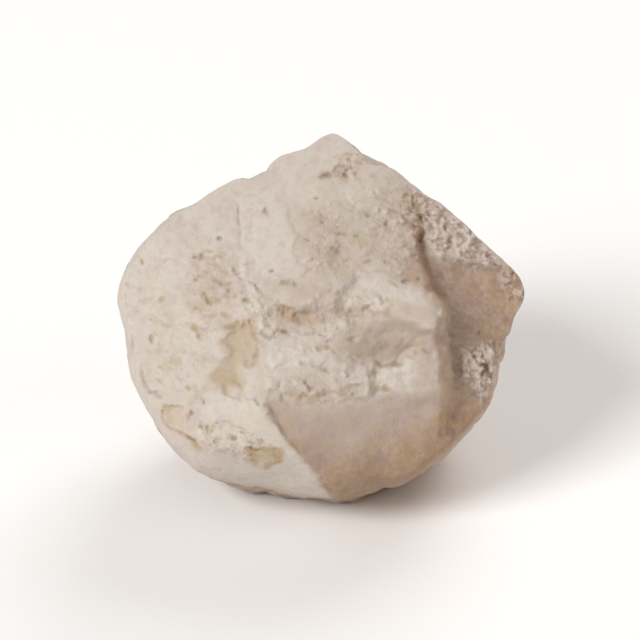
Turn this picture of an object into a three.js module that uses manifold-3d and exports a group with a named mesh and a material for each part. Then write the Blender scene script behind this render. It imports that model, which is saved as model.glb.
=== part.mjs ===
// Thenardite specimen: one natural, rounded lump of the mineral, lying on a small flat spot.
//
// The lump is described in a face frame and then leaned back to where it rests. In the face frame u runs to
// the right, v runs up and w comes straight out of the show face, in millimetres from the middle of the lump.
// The girdle is the outline of the show face. In front of it the surface is a relief of broad cleavage facets
// with steps between them, and behind it the surface is a plainer, rounded back.
//
// Millimetres, +Z up. The origin is the middle of the bounding box, on the surface that the lump rests on.

import * as THREE from 'three';
import { mergeVertices } from 'three/addons/utils/BufferGeometryUtils.js';
import Module from 'manifold-3d';

// ---------------------------------------------------------------- driving dimensions

const LEAN = THREE.MathUtils.degToRad(30); // the show face leans back this far from upright
const FRONT_DEPTH = 34; // from the girdle to the fullest point of the front
const BACK_DEPTH = 29; // from the girdle to the fullest point of the back
const REST_DROP = 31.6; // from the middle of the lump down to the flat that it rests on
const MESH_DETAIL = 21; // rows of triangles along each edge of the starting icosahedron
const FRONT_CROWDING = 0.32; // how far the mesh's rows crowd towards the show face, where the relief is finer
const GIRDLE_SWAY = 3.5; // how far the girdle wanders in front of and behind its own plane
const GIRDLE_SWAY_WIDTH = 12; // how soon that wandering dies out away from the girdle
const GIRDLE_SWAY_TURN = 0.6; // where round the girdle the wandering starts, in radians
const FACE_UNEVENNESS = { rise: 0.25, size: 6 }; // broad lumps on the show face
const BACK_UNEVENNESS = { rise: 1.1, size: 11 }; // broad lumps behind the girdle
const FINE_UNEVENNESS = { rise: 0.3, size: 4 }; // smaller lumps all over
const CRISP = 1; // how widely a sharp corner between two facets is rounded
const WORN = 2; // the same for a worn corner
const SOFT = 3; // the same for a corner that is hardly seen
const FLANK_MARGIN = 0.3; // how far the flank stands above the middle where both would reach the same height

// Corners of the girdle, anticlockwise from the peak. A smooth curve runs through them.
const GIRDLE = [
  [3.3, 36.7], [0.9, 36.3], [-3.0, 34.0], [-6.7, 32.9], [-9.7, 31.1], [-12.0, 28.4], [-16.5, 28.0],
  [-20.0, 26.4], [-24.5, 23.4], [-28.5, 21.5], [-31.8, 18.9], [-35.2, 15.6], [-38.7, 10.6], [-40.1, 5.6],
  [-40.1, 2.6], [-38.6, -3.8], [-38.4, -7.5], [-37.7, -12.0], [-35.2, -17.0], [-33.2, -20.2], [-30.6, -24.6],
  [-26.8, -28.6], [-22.8, -31.3], [-16.0, -33.3], [-10.6, -34.2], [-3.7, -35.7], [1.9, -36.4], [4.6, -36.7],
  [10.1, -35.0], [12.7, -33.9], [15.0, -33.8], [18.0, -32.7], [21.5, -30.6], [25.5, -27.1], [30.0, -22.0],
  [33.5, -17.4], [34.6, -14.5], [35.8, -8.4], [36.5, -4.4], [37.9, -2.4], [38.8, 0.4], [40.2, 4.0],
  [40.1, 6.8], [38.6, 9.9], [35.5, 12.7], [26.9, 20.5], [24.0, 23.2], [20.3, 25.2], [17.0, 28.1],
  [14.6, 30.1], [12.6, 30.7], [10.1, 31.2], [7.5, 33.9],
];

// ---------------------------------------------------------------- facets of the show face
// Each facet is a plane through (at, height) that climbs by slope[0] to the right and slope[1] upward.

const DOME = { at: [-15.9, 17.9], height: 25.8, slope: [0.42, -0.30] };
const CROWN = { at: [4.9, 11.9], height: 27.4, slope: [-0.05, -0.38] };
const CROWN_LEFT = { at: [-4.1, 11.9], height: 27.5, slope: [0.20, -0.36] };
const CROWN_RIGHT = { at: [12.9, 17.9], height: 24.6, slope: [-0.30, -0.36] };
const PEAK = { at: [2.9, 30.9], height: 19.8, slope: [0.12, -0.62] };
const MIDDLE = { at: [-4.1, -3.1], height: 29.2, slope: [0, -0.16] };
const MIDDLE_RIGHT = { at: [13.9, -2.1], height: 28.0, slope: [-0.10, 0.06] };
const FLANK_UPPER = { at: [-11.7, -13.1], height: 29.8, slope: [0.42, -0.03] };
const FLANK_LOWER = { at: [-11.7, -13.1], height: 29.8, slope: [0.34, 0.20] };
const FLANK_RIM = { at: [-31.5, -21.7], height: 20.4, slope: [0.62, 0.50] };
const SHELF_TOP = { at: [12.9, 7.3], height: 28.4, slope: [0.06, -0.16] };
const BREAK_UPPER = { at: [-10.1, -16.1], height: 29.1, slope: [-0.11, 0.03] };
const BREAK_MIDDLE = { at: [5.9, -22.5], height: 26.2, slope: [-0.24, 0.36] };
const BREAK_LOWER = { at: [5.9, -29.3], height: 23.9, slope: [-0.28, 0.85] };
const WING_CRUST = { at: [23.9, 20.9], height: 20.2, slope: [-0.36, -0.14] };
const WING_HOLLOW = { at: [23.9, 2.9], height: 19.6, slope: [-0.44, -0.06] };
const WING_LOW = { at: [31, -9], height: 18.3, slope: [-0.38, 0.05] };

// ---------------------------------------------------------------- edges and patches of the show face

// The crown overhangs the middle of the face along this line, from left to right.
const OVERHANG = [[-19.1, 3.9], [-11.7, 3.1], [-8.7, 2.7], [2.9, 3.1], [4.9, 5.9], [7.3, 8.1], [11.9, 8.5],
  [16.9, 7.5], [23.9, 3.9]];
// The right edge of the main block, from top to bottom. The wing lies lower, on its right.
const BLOCK_EDGE = [[15.9, 33.9], [17.6, 27.9], [18.5, 24.9], [18.6, 20.9], [19.1, 15.9], [19.5, 11.5],
  [20.3, 8.5], [21.5, 6], [22.9, 3.5], [23.6, 0.5], [24.5, -3.1], [25.3, -7.1], [25.3, -11.7],
  [24.9, -16.1], [24.5, -21.1], [26.3, -26.5], [28.3, -30.1]];
// A narrow gap follows the block's edge down beside the wing.
const GAP = [[18.9, 24.7], [19.3, 20.9], [19.9, 16.3], [20.6, 13.5], [20.9, 11], [21.6, 8], [23, 4.5]];
const GAP_DEPTH = 1.4;
const GAP_TOP_DEPTH = 0.7;
const GAP_HALF_WIDTH = 1.6;

// Patches of the face. Each fades in from `outside` its edge to `soft` inside it, in millimetres, and those
// with a rise stand above the facet that they lie on, or sink below it.
const SHELF = {
  edge: [[5.1, 6.1], [7.3, 8.1], [12.9, 8.5], [18.7, 7.3], [20.9, 6.1], [22.5, 3.9], [24.5, -1.1],
    [23.1, -3.3], [15.9, -0.9], [9.9, 0.1], [3.9, 2.9]],
  soft: 2,
  softLeft: 3.5,
  outside: 1,
  outsideLeft: 2,
};
const SCOOP = {
  edge: [[-2, 3], [5, 5], [10, 4], [16, 3.5], [27, 1], [26, -6.2], [20, -6.2], [16.5, -7.1], [15.5, -8.8],
    [10, -8.5], [4.5, -8], [2, -6]],
  soft: 2,
  outside: 0.4,
};
const LIP = {
  edge: [[15.9, -8.3], [16.7, -7.5], [19.9, -6.7], [25.1, -6.5], [25.3, -12.1], [17.9, -12.9],
    [14.9, -13.5], [11.1, -13.1], [10.7, -10.1], [13.9, -9.3]],
  soft: 1.6,
  outside: 0.4,
  rise: 0.7,
};
const LEDGE = {
  edge: [[-10.5, -10.5], [-4.1, -8.5], [1.9, -9.7], [4.9, -8.5], [10.7, -8.5], [11.1, -10.5],
    [9.9, -14.9], [4.9, -14.5], [1.5, -14.1], [-4.1, -15.7], [-7.1, -14.5], [-10.1, -13.7]],
  soft: 1,
  outside: 0.3,
  rise: 0.9,
};
const FLANK_HOLLOW = {
  edge: [[-17, -1], [-13.5, -0.5], [-12.5, -3], [-12, -6], [-13, -8.5], [-14.5, -8.5], [-14.5, -11.5],
    [-15, -14], [-17.5, -14.5], [-21, -14.5], [-21.5, -11], [-20, -9.5], [-18.5, -7], [-19.5, -4]],
  soft: 1.6,
  outside: 0.4,
  rise: -0.9,
};
// Its edge is crisp on the left (the smaller softness) and worn on the right.
const BREAK = {
  edge: [[-10.5, -14.9], [-4.1, -15.9], [1.9, -14.7], [10.3, -14.5], [15.9, -13.5], [25.5, -12.3],
    [30.9, -13.1], [39.9, -24.1], [23.9, -44.1], [1.9, -40.1], [0.3, -32.5], [-4.1, -26.5], [-7.1, -22.1],
    [-9.7, -17.7]],
  soft: 1,
  softRight: 4,
  outside: 0.2,
};
const WING_DISH = {
  edge: [[22.3, 11.5], [26.9, 11.1], [30.9, 11.5], [35.9, 10.3], [43.9, 5.9], [43.9, -16], [22.3, -16]],
  soft: 2.5,
  outside: 1.5,
};
// The scoop starts along this line and deepens down to the lip.
const SCOOP_TOP = [[-2, -6.5], [2.5, -3], [6, -1], [10, -0.5], [16, -0.4], [21, -1.2], [27, -3]];
const SCOOP_SLOPE = 0.48;
const SCOOP_DEPTH = 2.9;
// A trough runs under the crown, up to where the shelf starts.
const TROUGH = [[-9, 1], [-6, 1.5], [-3, 1], [0.5, 2.5], [3, 5]];
const TROUGH_DEPTH = 0.6;
const TROUGH_HALF_WIDTH = 2;
// Rounded nodules on the lower right rim: centre, radius and rise.
const NODULES = [
  { at: [30, -9], radius: 3.2, rise: 1.3 },
  { at: [33.5, -7], radius: 3.0, rise: 1.6 },
  { at: [32.5, -12.5], radius: 3.4, rise: 1.3 },
];
// The block's right wall is steep beside the wing and dies out towards the bottom.
const WALL_SLOPE = 3.4;
const LOW_WALL_SLOPE = 1.3;
// The lower half of the block's right edge is chamfered from this far inside the edge.
const CHAMFER = 2.2;
const LOW_CHAMFER = 1.4;

// Where one form gives way to the next, across the face (u) or up and down it (v), from none to all of it.
const INWARD = [-17.1, -10.5]; // u: from the left flank to the middle
const ABOVE_OVERHANG = [-2.2, 0.8]; // from under the overhang to the crown
const SHELF_EASES = [9, 4]; // u: from the shelf's plain edge to its gentler left end
const BREAK_WORN = [8, 18]; // u: from the break's crisp left to its worn right
const SCOOP_STARTS = [1, 13]; // u: from the scoop's left end to its full depth
const SCOOP_SHALLOWS = [16, 24]; // u: from its full depth to half of it
const HOLLOW_STARTS = [-22, -16]; // u: from the hollow's left side to its full depth
const WALL_DIES = [-8, -17]; // v: from the steep wall to the low one
const CHAMFER_STARTS = [1.5, -2.1]; // v: from a sharp edge to a chamfered one
const CHAMFER_SHALLOWS = [-9, -14]; // v: from the full chamfer to half of it
const WING_LOWERS = [3, -9]; // v: from the wing's dish to its low end
const GAP_SHALLOWS = [14, 19]; // v: from the gap's full depth to its top's
const GAP_ENDS = [23, 16]; // v: from where the gap has closed up to where it is open
const BEHIND_SECTION = [0.14, -0.16]; // sphere height: from the girdle's own outline to the rounded one
const BEHIND_CHIPS = [15, 3]; // w: from the show face to where chips cut in full
const BEHIND_ROUGH = [8, -6]; // w: from the show face's unevenness to the back's

// ---------------------------------------------------------------- facets of the back
// Depth behind the girdle, as planes of the same kind.

const BACK_FACETS = [
  { at: [-6, 4], height: 28, slope: [0.10, -0.12] },
  { at: [-24, -4], height: 22.5, slope: [0.80, 0.10] },
  { at: [22, 2], height: 23, slope: [-0.72, -0.12] },
  { at: [2, 24], height: 21.5, slope: [-0.08, -0.80] },
  { at: [-20, 22], height: 18, slope: [0.60, -0.55] },
];
// The underside, which turns up all round the flat that the lump rests on.
const UNDER_FACETS = [
  { at: [0, -21.4], height: 26.2, slope: [0.06, 0.58] },
  { at: [16, -27.4], height: 15.8, slope: [-1.02, 1.73] },
  { at: [-16, -27.4], height: 15.8, slope: [1.02, 1.73] },
];
// A step crosses the back: everything above this line lies lower.
const BACK_STEP = [[-44, 2], [-20, 7], [-6, 4], [8, 10], [20, 9], [44, 14]];
const BACK_STEP_RISE = 1.6;
// Flat chips off the sides and the back: which way each faces in the face frame, and how deep it cuts.
const CHIPS = [
  { facing: [-0.75, 0.20, -0.63], depth: 2.0 },
  { facing: [0.70, 0.45, -0.55], depth: 1.8 },
  { facing: [0.30, 0.85, -0.43], depth: 1.8 },
  { facing: [-0.45, 0.75, -0.48], depth: 2.0 },
  { facing: [0.85, -0.25, -0.46], depth: 2.0 },
  { facing: [0.15, 0.25, -0.96], depth: 1.6 },
  { facing: [-0.30, -0.20, -0.93], depth: 1.4 },
  { facing: [-0.90, -0.35, -0.25], depth: 1.6 },
  { facing: [0.95, 0.15, -0.25], depth: 1.2 },
];

// ---------------------------------------------------------------- small maths

const mix = (a, b, amount) => a + (b - a) * amount;

const clamp = (value) => Math.min(1, Math.max(0, value));

function smoothStep(from, to, value) {
  const t = clamp((value - from) / (to - from));
  return t * t * (3 - 2 * t);
}

/** How far a value has gone from one end of a range to the other, from 0 to 1. */
const along = ([from, to], value) => smoothStep(from, to, value);

/** The smaller of two heights, with the corner between them rounded over a width. */
function softMin(a, b, width) {
  const h = clamp(0.5 + (0.5 * (b - a)) / width);
  return mix(b, a, h) - width * h * (1 - h);
}

const softMax = (a, b, width) => -softMin(-a, -b, width);

const facetHeight = (facet, u, v) => facet.height + facet.slope[0] * (u - facet.at[0])
  + facet.slope[1] * (v - facet.at[1]);

/** The same angle between -pi and pi. */
const wrap = (angle) => Math.atan2(Math.sin(angle), Math.cos(angle));

/** Distance from (u, v) to a line of corners, positive on its left side as it runs. */
function sideOf(line, u, v) {
  let nearest = Infinity;
  let side = 1;
  for (let i = 0; i + 1 < line.length; i += 1) {
    const [ax, ay] = line[i];
    const dx = line[i + 1][0] - ax;
    const dy = line[i + 1][1] - ay;
    const t = clamp(((u - ax) * dx + (v - ay) * dy) / (dx * dx + dy * dy));
    const distance = Math.hypot(u - ax - t * dx, v - ay - t * dy);
    if (distance < nearest) {
      nearest = distance;
      side = Math.sign(dx * (v - ay) - dy * (u - ax)) || 1;
    }
  }
  return nearest * side;
}

/** Distance from (u, v) to the closed edge of a patch, positive inside it. */
function insideOf(edge, u, v) {
  let inside = false;
  for (let i = 0, j = edge.length - 1; i < edge.length; j = i, i += 1) {
    const [ax, ay] = edge[i];
    const [bx, by] = edge[j];
    if ((ay > v) !== (by > v) && u < ((bx - ax) * (v - ay)) / (by - ay) + ax) {
      inside = !inside;
    }
  }
  const distance = Math.abs(sideOf([...edge, edge[0]], u, v));
  return inside ? distance : -distance;
}

/** How much of a patch covers (u, v): 0 outside, rising to 1 over its soft edge. */
function cover(patch, u, v, soft = patch.soft, outside = patch.outside) {
  return smoothStep(-outside, soft, insideOf(patch.edge, u, v));
}

/** How far a patch lifts the face over (u, v). */
const layer = (patch, u, v) => patch.rise * cover(patch, u, v);

/** How much a groove of a half-width along a line cuts over (u, v): 1 on the line, 0 beyond the groove. */
const groove = (line, halfWidth, u, v) => clamp(1 - Math.abs(sideOf(line, u, v)) / halfWidth);

/**
 * A repeatable whole-number scramble of a lattice corner, from -1 to 1.
 * Its odd multipliers have no meaning of their own: they only spread the bits.
 */
function scramble(i, j, k, seed) {
  let h = Math.imul(i, 374761393) + Math.imul(j, 668265263);
  h += Math.imul(k, 1442695041) + Math.imul(seed, 974711);
  h = Math.imul(h ^ (h >>> 13), 1274126177);
  h ^= h >>> 16;
  return (h & 0xffff) / 32767.5 - 1;
}

/** Smooth lumps about one unit across, from -1 to 1. */
function lumps(x, y, z, seed) {
  const cell = [Math.floor(x), Math.floor(y), Math.floor(z)];
  const ease = [x, y, z].map((value, axis) => smoothStep(0, 1, value - cell[axis]));
  let total = 0;
  for (let corner = 0; corner < 8; corner += 1) {
    const step = [corner & 1, (corner >> 1) & 1, corner >> 2];
    const weight = step.reduce((product, on, axis) => product * (on ? ease[axis] : 1 - ease[axis]), 1);
    total += weight * scramble(cell[0] + step[0], cell[1] + step[1], cell[2] + step[2], seed);
  }
  return total;
}

// ---------------------------------------------------------------- the lump's surface

/** The girdle's distance from the middle, by angle, from the curve through its corners. */
function girdleTable() {
  const corners = GIRDLE.map(([u, v]) => new THREE.Vector3(u, v, 0));
  const curve = new THREE.CatmullRomCurve3(corners, true, 'catmullrom', 0.5);
  const table = curve.getPoints(GIRDLE.length * 12).slice(0, -1).map((point) => ({
    angle: Math.atan2(point.y, point.x),
    radius: Math.hypot(point.x, point.y),
  }));
  table.sort((a, b) => a.angle - b.angle);
  const first = table[0];
  const last = table[table.length - 1];
  table.unshift({ angle: last.angle - 2 * Math.PI, radius: last.radius });
  table.push({ angle: first.angle + 2 * Math.PI, radius: first.radius });
  return table;
}

const girdle = girdleTable();

function girdleRadius(angle) {
  let high = 1;
  while (girdle[high].angle < angle) {
    high += 1;
  }
  const before = girdle[high - 1];
  const after = girdle[high];
  return mix(before.radius, after.radius, (angle - before.angle) / (after.angle - before.angle));
}

/** The girdle's distance from the middle with its small corners smoothed away. */
function roundedRadius(angle) {
  const turns = [-0.36, -0.24, -0.12, 0, 0.12, 0.24, 0.36];
  const radii = turns.map((turn) => girdleRadius(wrap(angle + turn)));
  return radii.reduce((total, radius) => total + radius, 0) / turns.length;
}

/** How square the lump's section is at this angle, in front of and behind the girdle: higher is squarer. */
const frontSquareness = (angle) => 3.6 + Math.cos(angle - THREE.MathUtils.degToRad(70));
const backSquareness = (angle) => 2.9 + 0.9 * Math.cos(angle + Math.PI / 2);

/** Height of the show face over (u, v). */
function faceRelief(u, v) {
  const crownLeft = softMin(facetHeight(DOME, u, v), facetHeight(CROWN, u, v), CRISP);
  const crownRight = softMin(facetHeight(CROWN_LEFT, u, v), facetHeight(CROWN_RIGHT, u, v), WORN);
  const crown = softMin(softMin(crownLeft, crownRight, CRISP), facetHeight(PEAK, u, v), CRISP);
  const flankFace = softMin(facetHeight(FLANK_UPPER, u, v), facetHeight(FLANK_LOWER, u, v), WORN);
  const flank = softMin(flankFace, facetHeight(FLANK_RIM, u, v), WORN);
  const middle = softMin(facetHeight(MIDDLE, u, v), facetHeight(MIDDLE_RIGHT, u, v), CRISP);

  // Below the overhang the crown gives way to the flank on the left and the middle on the right.
  const inward = along(INWARD, u);
  const leftBelow = softMin(crown, flank, WORN);
  const below = mix(leftBelow, softMin(middle, flank + FLANK_MARGIN, CRISP), inward);
  const above = mix(leftBelow, softMin(crown, flank + FLANK_MARGIN, WORN), inward);
  let height = mix(below, above, along(ABOVE_OVERHANG, sideOf(OVERHANG, u, v)));

  const eased = along(SHELF_EASES, u);
  const shelfSoftness = mix(SHELF.soft, SHELF.softLeft, eased);
  const shelfOutside = mix(SHELF.outside, SHELF.outsideLeft, eased);
  height = mix(height, facetHeight(SHELF_TOP, u, v), cover(SHELF, u, v, shelfSoftness, shelfOutside));
  const breakUpper = softMin(facetHeight(BREAK_UPPER, u, v), facetHeight(BREAK_MIDDLE, u, v), SOFT);
  const breakFace = softMin(breakUpper, facetHeight(BREAK_LOWER, u, v), SOFT);
  const breakSoftness = mix(BREAK.soft, BREAK.softRight, along(BREAK_WORN, u));
  height = mix(height, Math.min(height, breakFace), cover(BREAK, u, v, breakSoftness));

  // The scoop dies out to the right and to the left.
  const ends = mix(1, 0.5, along(SCOOP_SHALLOWS, u)) * along(SCOOP_STARTS, u);
  const sunk = Math.min(SCOOP_DEPTH, SCOOP_SLOPE * Math.max(0, -sideOf(SCOOP_TOP, u, v)));
  height -= sunk * ends * cover(SCOOP, u, v);
  height += layer(LIP, u, v) + layer(LEDGE, u, v);
  height += layer(FLANK_HOLLOW, u, v) * along(HOLLOW_STARTS, u);
  height -= TROUGH_DEPTH * groove(TROUGH, TROUGH_HALF_WIDTH, u, v);
  return wingRelief(height, u, v);
}

/** Drops the surface beyond the block's edge to the wing, with the narrow gap between them. */
function wingRelief(blockHeight, u, v) {
  const beyond = sideOf(BLOCK_EDGE, u, v);
  const low = along(CHAMFER_SHALLOWS, v);
  const wallSlope = mix(WALL_SLOPE, LOW_WALL_SLOPE, along(WALL_DIES, v));
  const chamferSlope = along(CHAMFER_STARTS, v) * mix(1, 0.5, low);
  const edged = blockHeight - chamferSlope * Math.max(0, beyond + mix(CHAMFER, LOW_CHAMFER, low));
  let height = edged;
  if (beyond > 0) {
    const dish = Math.min(facetHeight(WING_CRUST, u, v), facetHeight(WING_HOLLOW, u, v));
    const upper = mix(facetHeight(WING_CRUST, u, v), dish, cover(WING_DISH, u, v));
    const wing = mix(upper, facetHeight(WING_LOW, u, v), along(WING_LOWERS, v));
    height = softMax(edged - beyond * wallSlope, wing, WORN);
  }
  const gapDepth = mix(GAP_DEPTH, GAP_TOP_DEPTH, along(GAP_SHALLOWS, v)) * along(GAP_ENDS, v);
  height -= gapDepth * groove(GAP, GAP_HALF_WIDTH, u, v);
  for (const nodule of NODULES) {
    const away = Math.hypot(u - nodule.at[0], v - nodule.at[1]) / nodule.radius;
    height += nodule.rise * Math.max(0, 1 - away * away);
  }
  return height;
}

/** Depth of the back behind (u, v). */
function backRelief(u, v) {
  const heights = [...BACK_FACETS, ...UNDER_FACETS].map((facet) => facetHeight(facet, u, v));
  const depth = heights.reduce((least, height) => softMin(least, height, WORN));
  return depth - BACK_STEP_RISE * smoothStep(-1, 1, sideOf(BACK_STEP, u, v));
}

/** Places one direction of the starting sphere on the lump, in the face frame. */
function surfacePoint(direction) {
  direction.z += FRONT_CROWDING * (1 - direction.z ** 2);
  direction.normalize();
  const angle = Math.atan2(direction.y, direction.x);
  const spread = Math.hypot(direction.x, direction.y);
  const front = direction.z >= 0;
  const behind = along(BEHIND_SECTION, direction.z);
  const radius = mix(girdleRadius(angle), roundedRadius(angle), behind);
  const depth = front ? FRONT_DEPTH : BACK_DEPTH;
  const power = front ? frontSquareness(angle) : backSquareness(angle);
  const reach = ((spread / radius) ** power + (Math.abs(direction.z) / depth) ** power) ** (-1 / power);
  const u = reach * direction.x;
  const v = reach * direction.y;
  const wall = reach * Math.abs(direction.z);
  const w = front ? softMin(faceRelief(u, v), wall, CRISP) : -softMin(backRelief(u, v), wall, WORN);
  const nearGirdle = Math.exp(-((w / GIRDLE_SWAY_WIDTH) ** 2)) * spread ** 4;
  const sway = GIRDLE_SWAY * Math.sin(2 * angle + GIRDLE_SWAY_TURN) * nearGirdle;
  return new THREE.Vector3(u, v, w + sway);
}

/** Broad unevenness, stronger behind the girdle than on the show face. */
function roughen(point) {
  const { x, y, z } = point;
  const behind = along(BEHIND_ROUGH, z);
  const rise = mix(FACE_UNEVENNESS.rise, BACK_UNEVENNESS.rise, behind);
  const size = mix(FACE_UNEVENNESS.size, BACK_UNEVENNESS.size, behind);
  const fine = FINE_UNEVENNESS.size;
  const broad = rise * lumps(x / size, y / size, z / size, 3);
  const push = broad + FINE_UNEVENNESS.rise * lumps(x / fine, y / fine, z / fine, 5);
  return point.addScaledVector(point.clone().normalize(), push);
}

/** Cuts every point that stands beyond a chip's plane back to it, except on the show face. */
function chip(points) {
  for (const { facing, depth } of CHIPS) {
    const outward = new THREE.Vector3(...facing).normalize();
    const furthest = Math.max(...points.map((point) => point.dot(outward)));
    for (const point of points) {
      const over = Math.max(0, point.dot(outward) - furthest + depth);
      point.addScaledVector(outward, -over * along(BEHIND_CHIPS, point.z));
    }
  }
}

/** Turns a point of the face frame to where the lump rests. */
function lean(point) {
  const { x, y, z } = point;
  return new THREE.Vector3(
    x,
    y * Math.sin(LEAN) - z * Math.cos(LEAN),
    y * Math.cos(LEAN) + z * Math.sin(LEAN),
  );
}

// ---------------------------------------------------------------- solids

const wasm = await Module();
wasm.setup();

/** A closed geometry as a solid that can be cut. */
function toSolid(geometry) {
  geometry.deleteAttribute('normal');
  geometry.deleteAttribute('uv');
  const merged = mergeVertices(geometry, 1e-4);
  return new wasm.Manifold(new wasm.Mesh({
    numProp: 3,
    vertProperties: new Float32Array(merged.attributes.position.array),
    triVerts: new Uint32Array(merged.index.array),
  }));
}

function toGeometry(solid) {
  const mesh = solid.getMesh();
  const geometry = new THREE.BufferGeometry();
  geometry.setAttribute('position', new THREE.BufferAttribute(new Float32Array(mesh.vertProperties), 3));
  geometry.setIndex(new THREE.BufferAttribute(new Uint32Array(mesh.triVerts), 1));
  return geometry;
}

function roundedLump() {
  const geometry = new THREE.IcosahedronGeometry(1, MESH_DETAIL);
  const position = geometry.attributes.position;
  const points = [];
  for (let i = 0; i < position.count; i += 1) {
    const direction = new THREE.Vector3().fromBufferAttribute(position, i).normalize();
    points.push(roughen(surfacePoint(direction)));
  }
  chip(points);
  points.forEach((point, i) => {
    const placed = lean(point);
    position.setXYZ(i, placed.x, placed.y, placed.z);
  });
  return toSolid(geometry);
}

/** Everything below the rest plane, to be cut away. */
function ground() {
  const size = 200;
  const slab = new THREE.BoxGeometry(size, size, size);
  slab.translate(0, 0, -REST_DROP - size / 2);
  return toSolid(slab);
}

// ---------------------------------------------------------------- the specimen

const specimen = toGeometry(roundedLump().subtract(ground()));
specimen.computeBoundingBox();
const box = specimen.boundingBox;
specimen.translate(-(box.min.x + box.max.x) / 2, -(box.min.y + box.max.y) / 2, -box.min.z);
specimen.computeVertexNormals();

const stone = new THREE.MeshStandardMaterial({ color: 0xcdbba8, roughness: 0.9, metalness: 0 });
const thenardite = new THREE.Mesh(specimen, stone);
thenardite.name = 'thenardite';

const group = new THREE.Group();
group.add(thenardite);

export default group;
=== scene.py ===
"""Thenardite specimen: one whitish mineral lump with cleavage facets, crumbly crust, pits and earthy stains.

The lump is described in a face frame: u runs right, v runs up and w comes out of the show face, in
millimetres from the middle of the lump. The shape is then leaned back to where it rests, in metres.
"""
from __future__ import annotations

import logging
import math
from dataclasses import dataclass, field
from enum import Enum
from typing import Sequence

import bpy
import numpy as np
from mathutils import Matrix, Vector


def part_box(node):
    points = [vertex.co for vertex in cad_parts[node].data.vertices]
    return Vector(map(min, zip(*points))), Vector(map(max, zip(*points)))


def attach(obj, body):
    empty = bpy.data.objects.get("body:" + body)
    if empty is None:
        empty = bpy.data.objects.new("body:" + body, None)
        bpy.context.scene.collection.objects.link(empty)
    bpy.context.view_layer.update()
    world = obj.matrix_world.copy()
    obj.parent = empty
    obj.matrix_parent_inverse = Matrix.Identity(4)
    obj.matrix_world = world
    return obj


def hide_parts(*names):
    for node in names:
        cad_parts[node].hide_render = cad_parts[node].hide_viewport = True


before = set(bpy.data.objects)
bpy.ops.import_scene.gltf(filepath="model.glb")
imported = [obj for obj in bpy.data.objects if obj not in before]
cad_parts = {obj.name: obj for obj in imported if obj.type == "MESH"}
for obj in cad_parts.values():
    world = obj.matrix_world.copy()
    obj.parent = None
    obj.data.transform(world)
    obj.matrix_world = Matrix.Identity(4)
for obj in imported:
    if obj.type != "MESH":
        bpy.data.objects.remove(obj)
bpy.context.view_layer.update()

NODE = "thenardite"
MM = 0.001

LEAN = math.radians(30)  # the show face leans back this far from upright
CRISP = 1  # how widely a sharp corner between two facets is rounded
WORN = 2  # the same for a worn corner
SOFT = 3  # the same for a corner that is hardly seen
FLANK_MARGIN = 0.3  # how far the flank stands above the middle where both would reach the same height
WANDER = 0.8  # how far edges stray from the lines that they are drawn along

# Where one form gives way to the next: across the face (u), up and down it (v) or through the lump (w).
INWARD = (-17.1, -10.5)  # u: from the left flank to the middle
ABOVE_OVERHANG = (-2.2, 0.8)  # above the overhang's line: from under it to the crown
SHELF_EASES = (9, 4)  # u: from the shelf's plain edge to its gentler left end
BREAK_WORN = (8, 18)  # u: from the break's crisp left to its worn right
SCOOP_STARTS = (1, 13)  # u: from the scoop's left end to its full depth
SCOOP_SHALLOWS = (16, 24)  # u: from its full depth to half of it
HOLLOW_STARTS = (-22, -16)  # u: from the hollow's left side to its full depth
WALL_DIES = (-8, -17)  # v: from the steep wall to the low one
CHAMFER_STARTS = (1.5, -2.1)  # v: from a sharp edge to a chamfered one
CHAMFER_SHALLOWS = (-9, -14)  # v: from the full chamfer to half of it
WING_LOWERS = (3, -9)  # v: from the wing's dish to its low end
GAP_NARROWS = (13, 19)  # v: from the gap's full width to its top's
GAP_SHALLOWS = (14, 19)  # v: from the gap's full depth to its top's
GAP_ENDS = (23, 16)  # v: from where the gap has closed up to where it is open
WING_LIT = (15, 7)  # v: from the wing's pale top to its shaded rest
BREAK_SOIL_AND_SHADE = (15, 35)  # down and right over the break: from bare stone to soil, partly painted shade
BREAK_HAZY = (34, 24)  # the same way: from no haze to all of it
BREAK_OCHRE = (27, 38)  # the same way: from no ochre to all of it
BREAK_EARTH_AND_SHADE = (24, 38)  # the same way: from no earth to all of it, partly painted shade
BEHIND_SECTION = (0.14, -0.16)  # sphere height: from the girdle's own outline to the rounded one
BEHIND_CHIPS = (15, 3)  # w: from the show face to where chips cut in full
BEHIND_ROUGH = (8, -6)  # w: from the show face's unevenness to the back's
ON_FACE = (6, 0)  # how far the face stands above the lump's wall: from the side to the show face

log = logging.getLogger("thenardite")

Grid = np.ndarray
Point2 = tuple[float, float]
Range = tuple[float, float]


# ------------------------------------------------------------------ small maths


def clamp(value: Grid) -> Grid:
    """Returns the value held between 0 and 1."""
    return np.clip(value, 0.0, 1.0)


def mix(a: Grid, b: Grid, amount: Grid) -> Grid:
    """Returns a where amount is 0 and b where it is 1."""
    return a + (b - a) * amount


def smooth_step(start: Grid | float, end: Grid | float, value: Grid) -> Grid:
    """Returns 0 at start, 1 at end and an eased rise between them."""
    t = clamp((value - start) / (end - start))
    return t * t * (3 - 2 * t)


def along(ends: Range, value: Grid) -> Grid:
    """Returns how far a value has gone from one end of a range to the other, from 0 to 1."""
    return smooth_step(ends[0], ends[1], value)


def soft_min(a: Grid, b: Grid, width: float) -> Grid:
    """Returns the smaller of two heights, with the corner between them rounded over a width."""
    h = clamp(0.5 + 0.5 * (b - a) / width)
    return mix(b, a, h) - width * h * (1 - h)


def soft_max(a: Grid, b: Grid, width: float) -> Grid:
    """Returns the larger of two heights, with the corner between them rounded over a width."""
    return -soft_min(-a, -b, width)


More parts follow.
